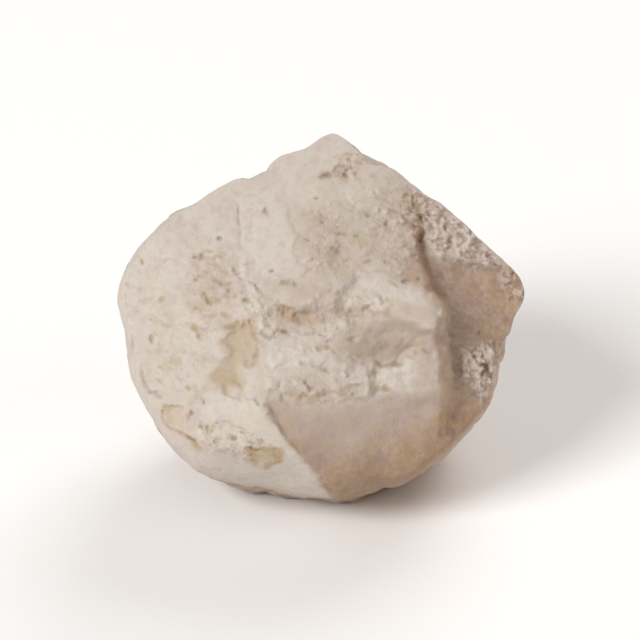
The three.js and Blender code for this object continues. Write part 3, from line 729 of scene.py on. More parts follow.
SEAMS = (
    Seam(line((-16, 23.5), (-16, 19), (-15.5, 17), (-15.5, 14.5)), 0.5, 0.5, None),
    Seam(line((-16.5, 10), (-16, 9), (-15.5, 8)), 0.5, 0.7),
    Seam(line((-25.5, -0.5), (-24.5, -1), (-23.5, -2.5), (-23, -3.5)), 0.55, 0.8, Coat.OCHRE),
    Seam(line((-19.5, 4), (-18.5, 4.5), (-17.5, 4)), 0.4, 0.5),
    Seam(line((-23, 5), (-21.5, 3.5), (-20, 3.5)), 0.5, 0.7, Coat.OCHRE),
    Seam(line((-24, 8), (-21.5, 8.5), (-19, 7.5)), 0.45, 0.5, Coat.OCHRE),
    Seam(line((-20.5, 4.5), (-18, 5), (-16, 4)), 0.45, 0.5, Coat.TAN),
    Seam(line((-21, 1), (-18.5, 1.5), (-17, 0.5)), 0.45, 0.5, Coat.OCHRE),
    Seam(line((-17.5, -1.5), (-15, -1.5), (-13, -0.5), (-12.5, -3)), 1.0, 0.6, Coat.RUST),
    Seam(line((-12.5, -3), (-12, -6), (-12.5, -8)), 0.6, 0.6),
    Seam(line((2, 16.5), (3.5, 16), (5, 16)), 0.4, 0.6),
    Seam(line((3, 14.5), (4, 14)), 0.4, 0.5),
    Seam(line((2.5, 13.5), (4, 13)), 0.4, 0.5),
    Seam(line((-13.5, 7.5), (-11.5, 5.5), (-10.5, 4.5), (-9.5, 4)), 0.5, 0.4, None),
    Seam(line((-19, 7), (-17.5, 7)), 0.4, 0.4),
    Seam(line((-7.5, -11.5), (-7.5, -13.5), (-6.5, -16), (-5.5, -16.5)), 0.45, 0.6, None),
    Seam(line((-2.5, -11.5), (-2.5, -12.5), (-1.5, -13.5)), 0.35, 0.5),
    Seam(line((9, -8.5), (9.2, -11), (9, -14.5)), 0.6, -0.2, Coat.CHALK),
    Seam(line((9.9, -8.5), (10.1, -11), (9.7, -14.5)), 0.35, 0.2, None),
    Seam(line((11, -13.5), (13, -13.5), (14.5, -14)), 0.45, 0.5, Coat.OCHRE),
    Seam(line((-4.5, -15.3), (-2.5, -14.8), (-0.5, -14.4), (1.5, -13.9)), 1.0, 0.7, Coat.RUST, 0.5),
    Seam(line((3, -14), (7, -14)), 0.7, 0.5, Coat.OCHRE, 0.5),
    Seam(line((13.5, 7.5), (15, 7), (16.5, 6.5)), 0.45, 0.5),
    # Painted shadow beneath the small wedge, cut as a shallow crease.
    Seam(line((4, 1.5), (6, 1.5), (9, 1.5)), 1.2, 0.8, Coat.TAN),
    Seam(line((3.5, 3.5), (8, 3.5), (12.5, 3)), 1.0, -0.6, Coat.CHALK),
    Seam(line((2.5, -1.5), (5, -0.2), (8, 0.6)), 1.0, -0.6, Coat.CHALK),
    Seam(line((-14.5, 11.5), (-13.5, 7), (-12, 2), (-11, -2), (-7.5, -3.5)), 1.3, -0.6, Coat.CHALK),
    # Tan stain and painted shade along the trough under the crown's overhang: the next two.
    Seam(line((-8.5, 2), (-5.5, 1.5)), 1.4, 0.7, Coat.TAN),
    Seam(line((-9, 1), (-6, 1.5), (-3, 1), (0.5, 2.5), (3, 5)), 2.0, 0.6, Coat.TAN),
    Seam(line((0.5, -5), (3, -5.5)), 0.8, 0.5, Coat.OCHRE),
    Seam(line((3, -8), (1.5, -10.5)), 0.8, 0.2, None),
    Seam(line((-37, -3.5), (-37.5, -6), (-37.5, -8)), 0.45, 0.5),
    Seam(line((-34.5, -10), (-34, -12.5), (-33.5, -14.5), (-31.5, -15)), 0.5, 0.6),
    Seam(line((-13.7, -24.6), (-13.2, -27.2), (-11.2, -28.9), (-8.2, -28), (-6.7, -26)),
         0.6, 0.7, Coat.RUST, 1.2),
    Seam(line((-30.4, -17.2), (-29, -16.7), (-27.3, -16.6)), 0.4, 0.4, Coat.RUST, 1.0),
    Seam(line((-30.8, -18), (-31.1, -19.5), (-30.7, -20.6)), 0.4, 0.4, Coat.RUST, 2.4),
    Seam(line((-31.1, -19.8), (-29.7, -21.1), (-27.5, -22.4), (-26, -23)), 0.45, 0.5, Coat.RUST, 1.3),
    Seam(line((-25.7, -17.4), (-25.2, -18.5), (-25.8, -19.6)), 0.35, 0.4, Coat.RUST, 0.9),
    Seam(line((-26.2, -17.9), (-26.5, -19)), 0.3, 0.3, Coat.RUST, 0.8),
    Seam(line((-26.2, -23.2), (-25, -23.8), (-24.2, -24.2)), 0.4, 0.5, Coat.EARTH, 0.9),
    Seam(line((-25.5, -16.5), (-23, -14.5), (-21.5, -13.2)), 0.8, 0.3, Coat.TAN),
    Seam(line((5, -11.5), (7.5, -11.5)), 0.4, 0.4, None),
    Seam(line((5, -13), (8, -12.5)), 0.4, 0.4),
    Seam(line((5, 24), (6.5, 22), (8.5, 20)), 1.1, 0.5, None),
    Seam(line((-7.5, 7.5), (-5.5, 7.5)), 0.4, 0.4),
    Seam(line((-11.5, -2.5), (-9.5, -3), (-7.5, -2.5)), 0.5, 0.5),
    Seam(line((0.5, 28), (2.5, 28.5), (4.5, 30)), 0.7, 0.7),
)

PITS = (
    Pit((-19, 16), (0.6, 0.5), 0.6),
    Pit((-22.5, 12.5), (0.6, 1.2), 0.6, Coat.TAN),
    Pit((-24, 12), (0.5, 0.4), 0.4),
    Pit((-20.5, 12), (0.4, 0.3), 0.4),
    Pit((-14, 3.5), (0.8, 0.6), 0.7, Coat.OCHRE),
    Pit((-17.5, 5.5), (0.6, 0.8), 0.5, Coat.OCHRE),
    Pit((-10.5, 21.5), (0.6, 0.8), 0.6, Coat.OCHRE),
    Pit((-9, 10), (0.5, 0.3), 0.4),
    Pit((-4.5, 7), (0.4, 0.4), 0.5),
    Pit((-0.5, 23.5), (0.5, 0.4), 0.4),
    Pit((0.5, 18.5), (0.4, 0.4), 0.4),
    Pit((-35.5, 11), (0.5, 0.5), 0.4, Coat.OCHRE),
    Pit((-33, -3.5), (0.8, 0.8), 0.5),
    Pit((-30, 3.5), (0.7, 0.5), 0.4, Coat.OCHRE),
    Pit((-21.5, -21.5), (0.5, 0.4), 0.3, Coat.OCHRE),
    Pit((-19.5, -23), (0.8, 0.4), 0.3, Coat.OCHRE),
    Pit((-16.5, -22.5), (0.6, 0.4), 0.3, Coat.OCHRE),
    Pit((-12, -24.8), (0.8, 0.4), 0.5),
    Pit((-10, -25), (1.0, 0.4), 0.5, Coat.OCHRE),
    Pit((-12.3, -26.8), (0.8, 0.7), 0.5, Coat.OCHRE),
    Pit((-8, -26.4), (1.4, 0.8), 0.5, Coat.RUST),
    Knob((-11, -26.8), 1.3, 0.6),
    Pit((5.5, 28.5), (0.8, 0.8), 0.8),
    Pit((6.5, 30), (0.5, 0.5), 0.5),
    Pit((6.5, 34), (0.7, 0.4), 0.6),
    Pit((9.5, 31.5), (0.6, 0.4), 0.5),
    Pit((17, 24.5), (0.8, 0.6), 0.4, Coat.RUST),
    Pit((18.5, 22.5), (1.0, 0.7), 0.5, Coat.RUST),
    Pit((19.5, 20), (0.6, 0.9), 0.5, Coat.RUST),
    Pit((9, 20.5), (0.6, 0.8), 0.5),
    Pit((13, 18.5), (0.4, 1.0), 0.5),
    Pit((9.5, 11), (0.6, 0.5), 0.4, Coat.OCHRE),
    Pit((24.5, 18), (0.8, 0.7), 0.6, Coat.RUST),
    Pit((25.5, 16), (1.1, 0.8), 0.9, Coat.OCHRE),
    Pit((33.5, 13), (0.6, 0.5), 0.5, Coat.RUST),
    Pit((30.5, -7), (0.6, 0.5), 0.5, Coat.RUST),
    Pit((32, -10.5), (0.6, 0.6), 0.5, Coat.RUST),
    Pit((37.5, 7.5), (0.6, 0.5), 0.5),
    Pit((31, -2.5), (0.7, 0.4), 0.5),
    Pit((17, 7.5), (0.8, 0.4), 0.6),
    Pit((19, 7.5), (0.6, 0.4), 0.6),
    Pit((-6.5, -2.5), (0.8, 0.6), 0.6, Coat.OCHRE),
    Pit((2, -5.5), (1.0, 0.4), 0.5, Coat.OCHRE),
    Pit((14.2, -8.4), (2.2, 0.5), 0.6, Coat.OCHRE),
    Pit((6.5, -3.5), (1.4, 0.9), 0.5, Coat.TAN),
)

KNOBS = (
    Knob((30, -9), 3.2, 1.3),
    Knob((33.5, -7), 3.0, 1.6),
    Knob((32.5, -12.5), 3.4, 1.3),
    Knob((21.3, 7), 0.8, 0.6),
    Knob((24, -0.5), 0.8, 0.7),
    Knob((20.8, 9), 0.7, 0.5),
    Knob((17.5, 13), 1.2, 0.9),
    Knob((22, 4.5), 0.9, 0.8),
    Knob((23.5, 1.5), 0.9, 0.8),
    Knob((19, 15), 0.7, 0.5),
    Knob((22.5, 21.5), 1.2, 0.8),
    Knob((27, 20.5), 1.0, 0.6),
    Knob((29, 14.5), 1.6, 0.6),
    Knob((33, 11.5), 1.2, 0.8),
    Knob((29.5, -6.5), 0.8, 0.7),
    Knob((29, -10.5), 1.1, 0.8),
    Knob((34, -6), 1.4, 0.9),
    Knob((33.5, -9), 0.9, 0.7),
    Knob((34, -12.5), 0.9, 0.7),
    Knob((31.5, -13.5), 0.8, 0.7),
    Knob((34, -4), 0.6, 0.5),
    Knob((-13, 6), 0.8, 0.5),
    Knob((-12, 3), 0.8, 0.4),
    Knob((-12, -2), 0.9, 0.6),
)


@dataclass
class ShowFace:
    """The relief of the show face: broad facets with steps between them, in the face frame."""

    dome: Facet = Facet((-15.9, 17.9), 25.8, (0.42, -0.30))
    crown: Facet = Facet((4.9, 11.9), 27.4, (-0.05, -0.38))
    crown_left: Facet = Facet((-4.1, 11.9), 27.5, (0.20, -0.36))
    crown_right: Facet = Facet((12.9, 17.9), 24.6, (-0.30, -0.36))
    peak: Facet = Facet((2.9, 30.9), 19.8, (0.12, -0.62))
    middle: Facet = Facet((-4.1, -3.1), 29.2, (0, -0.16))
    middle_right: Facet = Facet((13.9, -2.1), 28.0, (-0.10, 0.06))
    flank_upper: Facet = Facet((-11.7, -13.1), 29.8, (0.42, -0.03))
    flank_lower: Facet = Facet((-11.7, -13.1), 29.8, (0.34, 0.20))
    flank_rim: Facet = Facet((-31.5, -21.7), 20.4, (0.62, 0.50))
    shelf_top: Facet = Facet((12.9, 7.3), 28.4, (0.06, -0.16))
    break_upper: Facet = Facet((-10.1, -16.1), 29.1, (-0.11, 0.03))
    break_middle: Facet = Facet((5.9, -22.5), 26.2, (-0.24, 0.36))
    break_lower: Facet = Facet((5.9, -29.3), 23.9, (-0.28, 0.85))
    wing_crust: Facet = Facet((23.9, 20.9), 20.2, (-0.36, -0.14))
    wing_hollow: Facet = Facet((23.9, 2.9), 19.6, (-0.44, -0.06))
    wing_low: Facet = Facet((31, -9), 18.3, (-0.38, 0.05))

    overhang: Line = line((-19.1, 3.9), (-11.7, 3.1), (-8.7, 2.7), (2.9, 3.1), (4.9, 5.9), (7.3, 8.1),
                          (11.9, 8.5), (16.9, 7.5), (23.9, 3.9))
    block_edge: Line = line((15.9, 33.9), (17.6, 27.9), (18.5, 24.9), (18.6, 20.9), (19.1, 15.9),
                            (19.5, 11.5), (20.3, 8.5), (21.5, 6), (22.9, 3.5), (23.6, 0.5),
                            (24.5, -3.1), (25.3, -7.1), (25.3, -11.7), (24.9, -16.1), (24.5, -21.1),
                            (26.3, -26.5), (28.3, -30.1))
    shelf: Patch = patch((5.1, 6.1), (7.3, 8.1), (12.9, 8.5), (18.7, 7.3), (20.9, 6.1), (22.5, 3.9),
                         (24.5, -1.1), (23.1, -3.3), (15.9, -0.9), (9.9, 0.1), (3.9, 2.9))
    ledge: Patch = patch((-10.5, -10.5), (-4.1, -8.5), (1.9, -9.7), (4.9, -8.5), (10.7, -8.5),
                         (11.1, -10.5), (9.9, -14.9), (4.9, -14.5), (1.5, -14.1), (-4.1, -15.7),
                         (-7.1, -14.5), (-10.1, -13.7))
    fracture: Patch = patch((-10.5, -14.9), (-4.1, -15.9), (1.9, -14.7), (10.3, -14.5), (15.9, -13.5),
                            (25.5, -12.3), (30.9, -13.1), (39.9, -24.1), (23.9, -44.1), (1.9, -40.1),
                            (0.3, -32.5), (-4.1, -26.5), (-7.1, -22.1), (-9.7, -17.7))
    wing_dish: Patch = patch((22.3, 11.5), (26.9, 11.1), (30.9, 11.5), (35.9, 10.3), (43.9, 5.9),
                             (43.9, -16), (22.3, -16))

    gap: Line = line((18.9, 24.7), (19.3, 20.9), (19.9, 16.3), (20.6, 13.5), (20.9, 11), (21.6, 8),
                     (23, 4.5))
    gap_depth: Range = (1.4, 0.7)  # along most of the gap, then at its top
    gap_half_width: Range = (1.6, 1.0)  # the same
    gap_stain_reach: Range = (1.9, 1.2)  # the same
    wall_slope: Range = (4.2, 1.3)  # beside the wing, then low down
    chamfer: Range = (2.2, 1.4)  # the same
    scoop_top: Line = line((-2, -6.5), (2.5, -3), (6, -1), (10, -0.5), (16, -0.4), (21, -1.2),
                           (27, -3))
    scoop_slope: float = 0.48
    scoop_depth: float = 2.9
    hollow_depth: float = 0.9
    lip_rise: float = 0.7
    ledge_rise: float = 0.9
    break_streaks: float = 0.10
    scoop_streaks: float = 0.16

    def relief(self, u: Grid, v: Grid) -> Surface:
        """Works out the show face.

        Args:
            u, v: places on the face.

        Returns:
            Its surface over those places, with what lies on it.
        """
        u, v = stray(u, v, 5, 3)
        height = self.block(u, v)
        u, v = stray(u, v, 2, 7)
        height = self.sink(height, u, v)
        face = Surface(u, v, self.wing(height, u, v))
        for mark in (*LAYERS, *TINTS, *CRUMBLES, *SEAMS, *PITS, *KNOBS):
            mark.press(face)
        self.roughen(face)
        self.soil(face)
        self.stain_and_shade_break(face)
        return face

    def block(self, u: Grid, v: Grid) -> Grid:
        """Joins the main block's facets.

        Args:
            u, v: places on the face.

        Returns:
            The block's height over those places.
        """
        crown_left = soft_min(self.dome.over(u, v), self.crown.over(u, v), CRISP)
        crown_right = soft_min(self.crown_left.over(u, v), self.crown_right.over(u, v), WORN)
        crown = soft_min(soft_min(crown_left, crown_right, CRISP), self.peak.over(u, v), CRISP)
        flank = soft_min(self.flank_upper.over(u, v), self.flank_lower.over(u, v), WORN)
        flank = soft_min(flank, self.flank_rim.over(u, v), WORN)
        middle = soft_min(self.middle.over(u, v), self.middle_right.over(u, v), CRISP)
        inward = along(INWARD, u)
        left_below = soft_min(crown, flank, WORN)
        below = mix(left_below, soft_min(middle, flank + FLANK_MARGIN, CRISP), inward)
        above = mix(left_below, soft_min(crown, flank + FLANK_MARGIN, WORN), inward)
        height = mix(below, above, along(ABOVE_OVERHANG, self.overhang.side(u, v)))
        eased = along(SHELF_EASES, u)
        on_shelf = self.shelf.cover(u, v, 2.0 + 1.5 * eased, 1.0 + eased)
        height = mix(height, self.shelf_top.over(u, v), on_shelf)
        broken = soft_min(self.break_upper.over(u, v), self.break_middle.over(u, v), SOFT)
        broken = soft_min(broken, self.break_lower.over(u, v), SOFT)
        soft = mix(1.0, 4.0, along(BREAK_WORN, u))
        return mix(height, np.minimum(height, broken), self.fracture.cover(u, v, soft, 0.2))

    def sink(self, height: Grid, u: Grid, v: Grid) -> Grid:
        """Sinks the scoop and the left hollow, and raises the lip and the ledge.

        Args:
            height: the block's height.
            u, v: places on the face.

        Returns:
            The height with them in it.
        """
        ends = mix(1, 0.5, along(SCOOP_SHALLOWS, u)) * along(SCOOP_STARTS, u)
        sunk = np.minimum(self.scoop_depth, self.scoop_slope * np.maximum(0, -self.scoop_top.side(u, v)))
        height = height - sunk * ends * SCOOP.cover(u, v, 1.2, 0.4)
        height = height + self.lip_rise * LIP.cover(u, v, 1.6, 0.4)
        height = height + self.ledge_rise * self.ledge.cover(u, v, 1.0, 0.3)
        return height - self.hollow_depth * LEFT_HOLLOW.ragged(u, v, 1.6, 0.4) * along(HOLLOW_STARTS, u)

    def wing(self, block: Grid, u: Grid, v: Grid) -> Grid:
        """Drops the surface beyond the block's edge to the wing, with the narrow gap between them.

        Args:
            block: the block's height.
            u, v: places on the face.

        Returns:
            The height of the block and the wing together.
        """
        beyond = self.block_edge.side(u, v)
        fall_slope = mix(*self.wall_slope, along(WALL_DIES, v))
        shallows = along(CHAMFER_SHALLOWS, v)
        chamfer = along(CHAMFER_STARTS, v) * mix(1.0, 0.5, shallows)
        edged = block - chamfer * np.maximum(0, beyond + mix(*self.chamfer, shallows))
        dish = np.minimum(self.wing_crust.over(u, v), self.wing_hollow.over(u, v))
        wing = mix(self.wing_crust.over(u, v), dish, self.wing_dish.cover(u, v, 2.5, 1.5))
        wing = mix(wing, self.wing_low.over(u, v), along(WING_LOWERS, v))
        height = np.where(beyond > 0, soft_max(edged - beyond * fall_slope, wing, 2.2), edged)
        half_width = mix(*self.gap_half_width, along(GAP_NARROWS, v))
        depth = mix(*self.gap_depth, along(GAP_SHALLOWS, v)) * along(GAP_ENDS, v)
        return height - depth * np.maximum(0, 1 - np.abs(self.gap.side(u, v)) / half_width)

    def roughen(self, face: Surface) -> None:
        """Adds streaks to the break and the scoop, and fine flakes and grain where the face is worn.

        Args:
            face: the surface with its marks.
        """
        u, v = face.u, face.v
        streaks = flat_fractal((u + 0.2 * v) / 7, (v - 0.2 * u) / 1.1, 41)
        face.height += self.break_streaks * streaks * self.fracture.cover(u, v, 2)
        face.height += self.scoop_streaks * streaks * SCOOP.cover(u, v, 1.5)
        plain = np.maximum(PLATE.cover(u, v, 1.5), 0.8 * BAND.cover(u, v, 1.5))
        worn = smooth_step(-0.2, 0.3, flat_fractal(u / 8, v / 8, 47)) * (1 - 0.7 * plain)
        # The steep wall beside the wing stays smoother than the rest, and so does the break.
        beyond = self.block_edge.side(u, v)
        gentle = 1 - 0.85 * smooth_step(-0.6, 0.6, beyond) * smooth_step(4.5, 3, beyond)
        gentle = gentle * (1 - 0.5 * self.fracture.cover(u, v, 1))
        face.height += gentle * (0.04 + 0.09 * worn) * flaky(u / 1.6, v / 1.2, 43)
        face.height += gentle * (0.07 + 0.13 * worn) * flat_fractal(u / 1.8, v / 1.8, 45)
        face.stain(Coat.GRAIN, 0.5 * worn)

    def soil(self, face: Surface) -> None:
        """Stains the gap with rust that is partly painted shade of its depths, and the wing and the foot of
        the wall above it with soil and earth that are partly painted shade.

        Args:
            face: the surface with its marks.
        """
        u, v = face.u, face.v
        beyond = self.block_edge.side(u, v)
        # Rust along the gap, partly painted shade of its depths.
        slit = clamp(1.4 - np.abs(self.gap.side(u, v)) / mix(*self.gap_stain_reach, along(GAP_NARROWS, v)))
        face.stain(Coat.RUST, 0.5 * slit * along(GAP_ENDS, v))
        crusted = np.maximum(WING_CRUST.ragged(u, v, 3, 1), 0.75 * NODULE_CRUST.ragged(u, v, 1.5, 0.5))
        # The soil on the wing is partly painted shade of its shaded side: it starts a little inside the
        # block's edge, further in low down, and drips end it at the top.
        drips = 3.5 * flat_fractal(u / 1.6, v / 5, 49)
        edge = mix(-0.9, -2.7, smooth_step(3, -3, v))
        shaded = smooth_step(edge, edge + 1.6, beyond) * (1 - 0.9 * crusted) * along(WING_LIT, v + drips)
        # Painted light: the soil is thinner next to the wall, to lift the block's cast shadow there.
        face.stain(Coat.SOIL, shaded * mix(0.7, 1, smooth_step(2, 11, beyond)))
        # Painted shade: dark earth along the foot of the wall, between the nodules and the shelf's end.
        foot = smooth_step(-0.2, 1, beyond) * smooth_step(3.5, 1.2, beyond)
        face.stain(Coat.EARTH, 0.3 * foot * smooth_step(5, 2, v) * smooth_step(-8, -3, v))

    def stain_and_shade_break(self, face: Surface) -> None:
        """Covers the break with a tan film and haze that give way low down on the right to some ochre, and to
        soil and earth that are partly painted shade, darker towards the bottom right.

        Args:
            face: the surface with its marks.
        """
        u, v = face.u, face.v
        down = 0.45 * u - v
        face.stain(Coat.TAN, 0.6 * self.fracture.cover(u, v, 2.2))
        hazy = self.fracture.cover(u, v, 3.0) * along(BREAK_HAZY, down) * smooth_step(24, 20, u)
        face.stain(Coat.HAZE, 0.38 * hazy)
        broken = self.fracture.cover(u, v, 1.5)
        # Soil and earth, partly painted shade, darken the break down and to the right.
        face.stain(Coat.SOIL, broken * along(BREAK_SOIL_AND_SHADE, down))
        face.stain(Coat.OCHRE, 0.20 * broken * along(BREAK_OCHRE, down))
        face.stain(Coat.EARTH, 0.3 * broken * along(BREAK_EARTH_AND_SHADE, down))


@dataclass
class BackFace:
    """The plainer, rounded back and the underside, as depths behind the girdle."""

    facets: tuple[Facet, ...] = (
        Facet((-6, 4), 28, (0.10, -0.12)),
        Facet((-24, -4), 22.5, (0.80, 0.10)),
        Facet((22, 2), 23, (-0.72, -0.12)),
        Facet((2, 24), 21.5, (-0.08, -0.80)),
        Facet((-20, 22), 18, (0.60, -0.55)),
        Facet((0, -21.4), 26.2, (0.06, 0.58)),
        Facet((16, -27.4), 15.8, (-1.02, 1.73)),
        Facet((-16, -27.4), 15.8, (1.02, 1.73)),
    )
    step: Line = line((-44, 2), (-20, 7), (-6, 4), (8, 10), (20, 9), (44, 14))
    step_rise: float = 1.6

    def relief(self, u: Grid, v: Grid) -> Grid:
        """Joins the back's facets, with a low step across them.

        Args:
            u, v: places on the face.

        Returns:
            The back's depth behind those places.
        """
        depth = self.facets[0].over(u, v)
        for facet in self.facets[1:]:
            depth = soft_min(depth, facet.over(u, v), WORN)
        return depth - self.step_rise * smooth_step(-1, 1, self.step.side(u, v))


# ------------------------------------------------------------------ the sides and the back


@dataclass
class Skin:
    """All points of the lump in the face frame, in millimetres, and what lies on them."""

    points: Grid
    coats: dict[Coat, Grid]

    def push(self, amount: Grid) -> None:
        """Moves every point straight out from the middle."""
        distance = np.linalg.norm(self.points, axis=1)[:, None]
        self.points = self.points + amount[:, None] * self.points / distance

    def lay(self, coat: Coat, amount: Grid) -> None:
        """Lays a coat on all points, where it is stronger than what is there."""
        self.coats[coat] = np.maximum(self.coats[coat], amount)

    def noise(self, size: float, seed: int, octaves: int = 3) -> Grid:
        """Returns lumps on lumps of a size in millimetres, from -1 to 1."""
        return fractal(*(self.points / size).T, seed, octaves)


@dataclass(frozen=True)
class Chip:
    """A flat where a piece has come off the side or the back: which way it faces and how deep it cuts."""

    facing: tuple[float, float, float]
    depth: float

    def cut(self, skin: Skin, behind: Grid, unevenness: Grid | float = 0.0) -> None:
        """Cuts back what stands beyond the flat.

        Args:
            skin: the lump's points.
            behind: how far each point lies behind the show face, from 0 to 1.
            unevenness: how much deeper the flat lies here and there.
        """
        outward = np.array(self.facing) / np.linalg.norm(self.facing)
        out = skin.points @ outward
        over = np.maximum(0, out - out.max() + self.depth + unevenness)
        skin.points = skin.points - (over * behind)[:, None] * outward


CHIPS = (
    Chip((-0.75, 0.20, -0.63), 2.0),
    Chip((0.70, 0.45, -0.55), 1.8),
    Chip((0.30, 0.85, -0.43), 1.8),
    Chip((-0.45, 0.75, -0.48), 2.0),
    Chip((0.85, -0.25, -0.46), 2.0),
    Chip((0.15, 0.25, -0.96), 1.6),
    Chip((-0.30, -0.20, -0.93), 1.4),
    Chip((-0.90, -0.35, -0.25), 1.6),
    Chip((0.95, 0.15, -0.25), 1.2),
)


@dataclass
class Weathering:
    """What has worn the sides, the back and the underside: chips, cracks, crust, pits and soil, part of which
    is painted shade at the foot of the break and beside the wing.
    """

    chips: tuple[Chip, ...] = CHIPS
    small_chips: int = 26
    small_chip_depth: Range = (0.4, 1.4)
    cracks: int = 18
    crack_length: Range = (4, 11)
    crack_depth: float = 0.7
    pits: int = 150
    pit_width: float = 0.3  # of the narrowest
    pit_spread: float = 1.1  # how much wider the widest is
    underside: Range = (-8, -30)  # height at rest: from the sides to the soiled underside
    face_foot: Range = (-12, -27)  # down the foot of the break: from bare stone to soil that is partly painted shade
    earth_and_shade_foot: Range = (-19, -34)  # v: from no earth to all of it, partly painted shade at the bottom edge
    right_side: Range = (22, 32)  # u: from bare stone to the soil beside the wing, partly painted shade of the shaded side
    below_crust: Range = (17, 9)  # v: the same from the crusted top of the wing
    seed: int = 5

    def wear(self, skin: Skin) -> None:
        """Wears everything that the show face doesn't cover.

        Args:
            skin: the lump's points.
        """
        rng = np.random.default_rng(self.seed)
        behind = along(BEHIND_CHIPS, skin.points[:, 2])
        self.chip(skin, behind, rng)
        broken = behind * smooth_step(-0.10, 0.30, skin.noise(17, 63, 2))
        self.crumble(skin, behind, broken)
        self.crack(skin, behind, rng)
        self.dot(skin, broken, rng)
        self.soil(skin, behind, broken)

    def chip(self, skin: Skin, behind: Grid, rng: np.random.Generator) -> None:
        """Cuts the large chips, then small ones at random.

        Args:
            skin: the lump's points.
            behind: how far each point lies behind the show face, from 0 to 1.
            rng: draws the random numbers.
        """
        for chip in self.chips:
            chip.cut(skin, behind, 0.3 * skin.noise(4, 61))
        for _ in range(self.small_chips):
            facing = rng.normal(size=3) * (1, 1, 0.8) - (0, 0, 0.5)
            unevenness = 0.35 * skin.noise(4, int(rng.integers(1000)))
            Chip(tuple(facing), rng.uniform(*self.small_chip_depth)).cut(skin, behind, unevenness)

    def crumble(self, skin: Skin, behind: Grid, broken: Grid) -> None:
        """Breaks the crust into flakes and crumbs.

        Args:
            skin: the lump's points.
            behind: how far each point lies behind the show face, from 0 to 1.
            broken: how broken the crust is at each point, from 0 to 1.
        """
        flakes = smooth_step(-0.05, 0.05, skin.noise(5, 67))
        crumbs = np.abs(skin.noise(1.8, 69))
        skin.push(0.45 * flakes * mix(0.3 * behind, behind, broken) - 0.9 * crumbs * broken)
        skin.push(behind * 0.25 * skin.noise(2.4, 77) + 0.06 * skin.noise(1.1, 71, 2))
        skin.lay(Coat.EARTH, 0.35 * broken * smooth_step(0.15, 0.5, crumbs))
        skin.lay(Coat.GRAIN, broken)

    def crack(self, skin: Skin, behind: Grid, rng: np.random.Generator) -> None:
        """Cuts short ragged cracks that run along the surface.

        Args:
            skin: the lump's points.
            behind: how far each point lies behind the show face, from 0 to 1.
            rng: draws the random numbers.
        """
        wander = np.stack([skin.noise(3, seed) for seed in (81, 83, 85)], 1)
        for _ in range(self.cracks):
            start = skin.points[rng.choice(np.nonzero(behind > 0.9)[0])]
            run = np.cross(start, rng.normal(size=3))
            run *= rng.uniform(*self.crack_length) / np.linalg.norm(run)
            away = skin.points + 1.6 * wander - start
            t = clamp(away @ run / (run @ run))
            gap = np.linalg.norm(away - t[:, None] * run, axis=1) / rng.uniform(0.5, 0.9)
            strength = behind * smooth_step(0, 0.3, t) * smooth_step(1, 0.7, t)
            skin.push(-self.crack_depth * clamp(1 - gap) * strength)
            skin.lay(Coat.EARTH, 0.7 * smooth_step(1.5, 0.2, gap) * strength)

    def dot(self, skin: Skin, broken: Grid, rng: np.random.Generator) -> None:
        """Presses small uneven pits, most of them where the crust is broken.

        Args:
            skin: the lump's points.
            broken: how broken the crust is at each point, from 0 to 1.
            rng: draws the random numbers.
        """
        ragged = 1 + 0.7 * skin.noise(0.9, 87, 2)
        sunk = np.zeros(len(ragged))
        chance = np.where(skin.points[:, 2] < 2, 0.05 + broken, 0)
        for at in rng.choice(len(chance), self.pits, replace=False, p=chance / chance.sum()):
            wide = self.pit_width + self.pit_spread * rng.random() ** 3
            r = np.linalg.norm(skin.points - skin.points[at], axis=1) / wide * ragged
            sunk -= wide * rng.uniform(0.3, 0.6) * smooth_step(1.1, 0.2, r)
            skin.lay(rng.choice([Coat.EARTH, Coat.OCHRE, Coat.RUST]), 0.8 * smooth_step(1.3, 0.3, r))
        skin.push(sunk)

    def soil(self, skin: Skin, behind: Grid, broken: Grid) -> None:
        """Lays soil and chalk in broad patches, with most soil underneath and low on the right; the soil and
        earth at the foot of the break and beside the wing are partly painted shade.

        Args:
            skin: the lump's points.
            behind: how far each point lies behind the show face, from 0 to 1.
            broken: how broken the crust is at each point, from 0 to 1.
        """
        x, y, z = skin.points.T
        patches = smooth_step(0.0, 0.5, skin.noise(8, 73))
        under = along(self.underside, y * math.cos(LEAN) + z * math.sin(LEAN))
        skin.lay(Coat.TAN, behind * clamp(0.3 + 0.9 * patches))
        skin.lay(Coat.EARTH, 0.3 * patches * broken)
        # The foot of the break darkens towards the bottom: soil and earth there are partly painted shade.
        on_break = smooth_step(-0.6, 1.2, x + 0.7 * y + 22.4 + skin.noise(3, 79))
        broken_low = on_break * along(self.face_foot, 0.25 * x + y)
        skin.lay(Coat.SOIL, np.maximum(0.8 * behind * under, broken_low))
        skin.lay(Coat.EARTH, 0.55 * broken_low * along(self.earth_and_shade_foot, y))
        # Beside the wing the soil, partly painted shade of the shaded side, goes round the side and thins out
        # in drips.
        beside = smooth_step(-8, 9, z + 7 * skin.noise(4, 89)) * smooth_step(15, 11, z)
        skin.lay(Coat.SOIL, 0.75 * beside * along(self.right_side, x) * along(self.below_crust, y))
        skin.lay(Coat.CHALK, behind * 0.55 * smooth_step(0.0, -0.45, skin.noise(10, 75)))


# ------------------------------------------------------------------ the lump


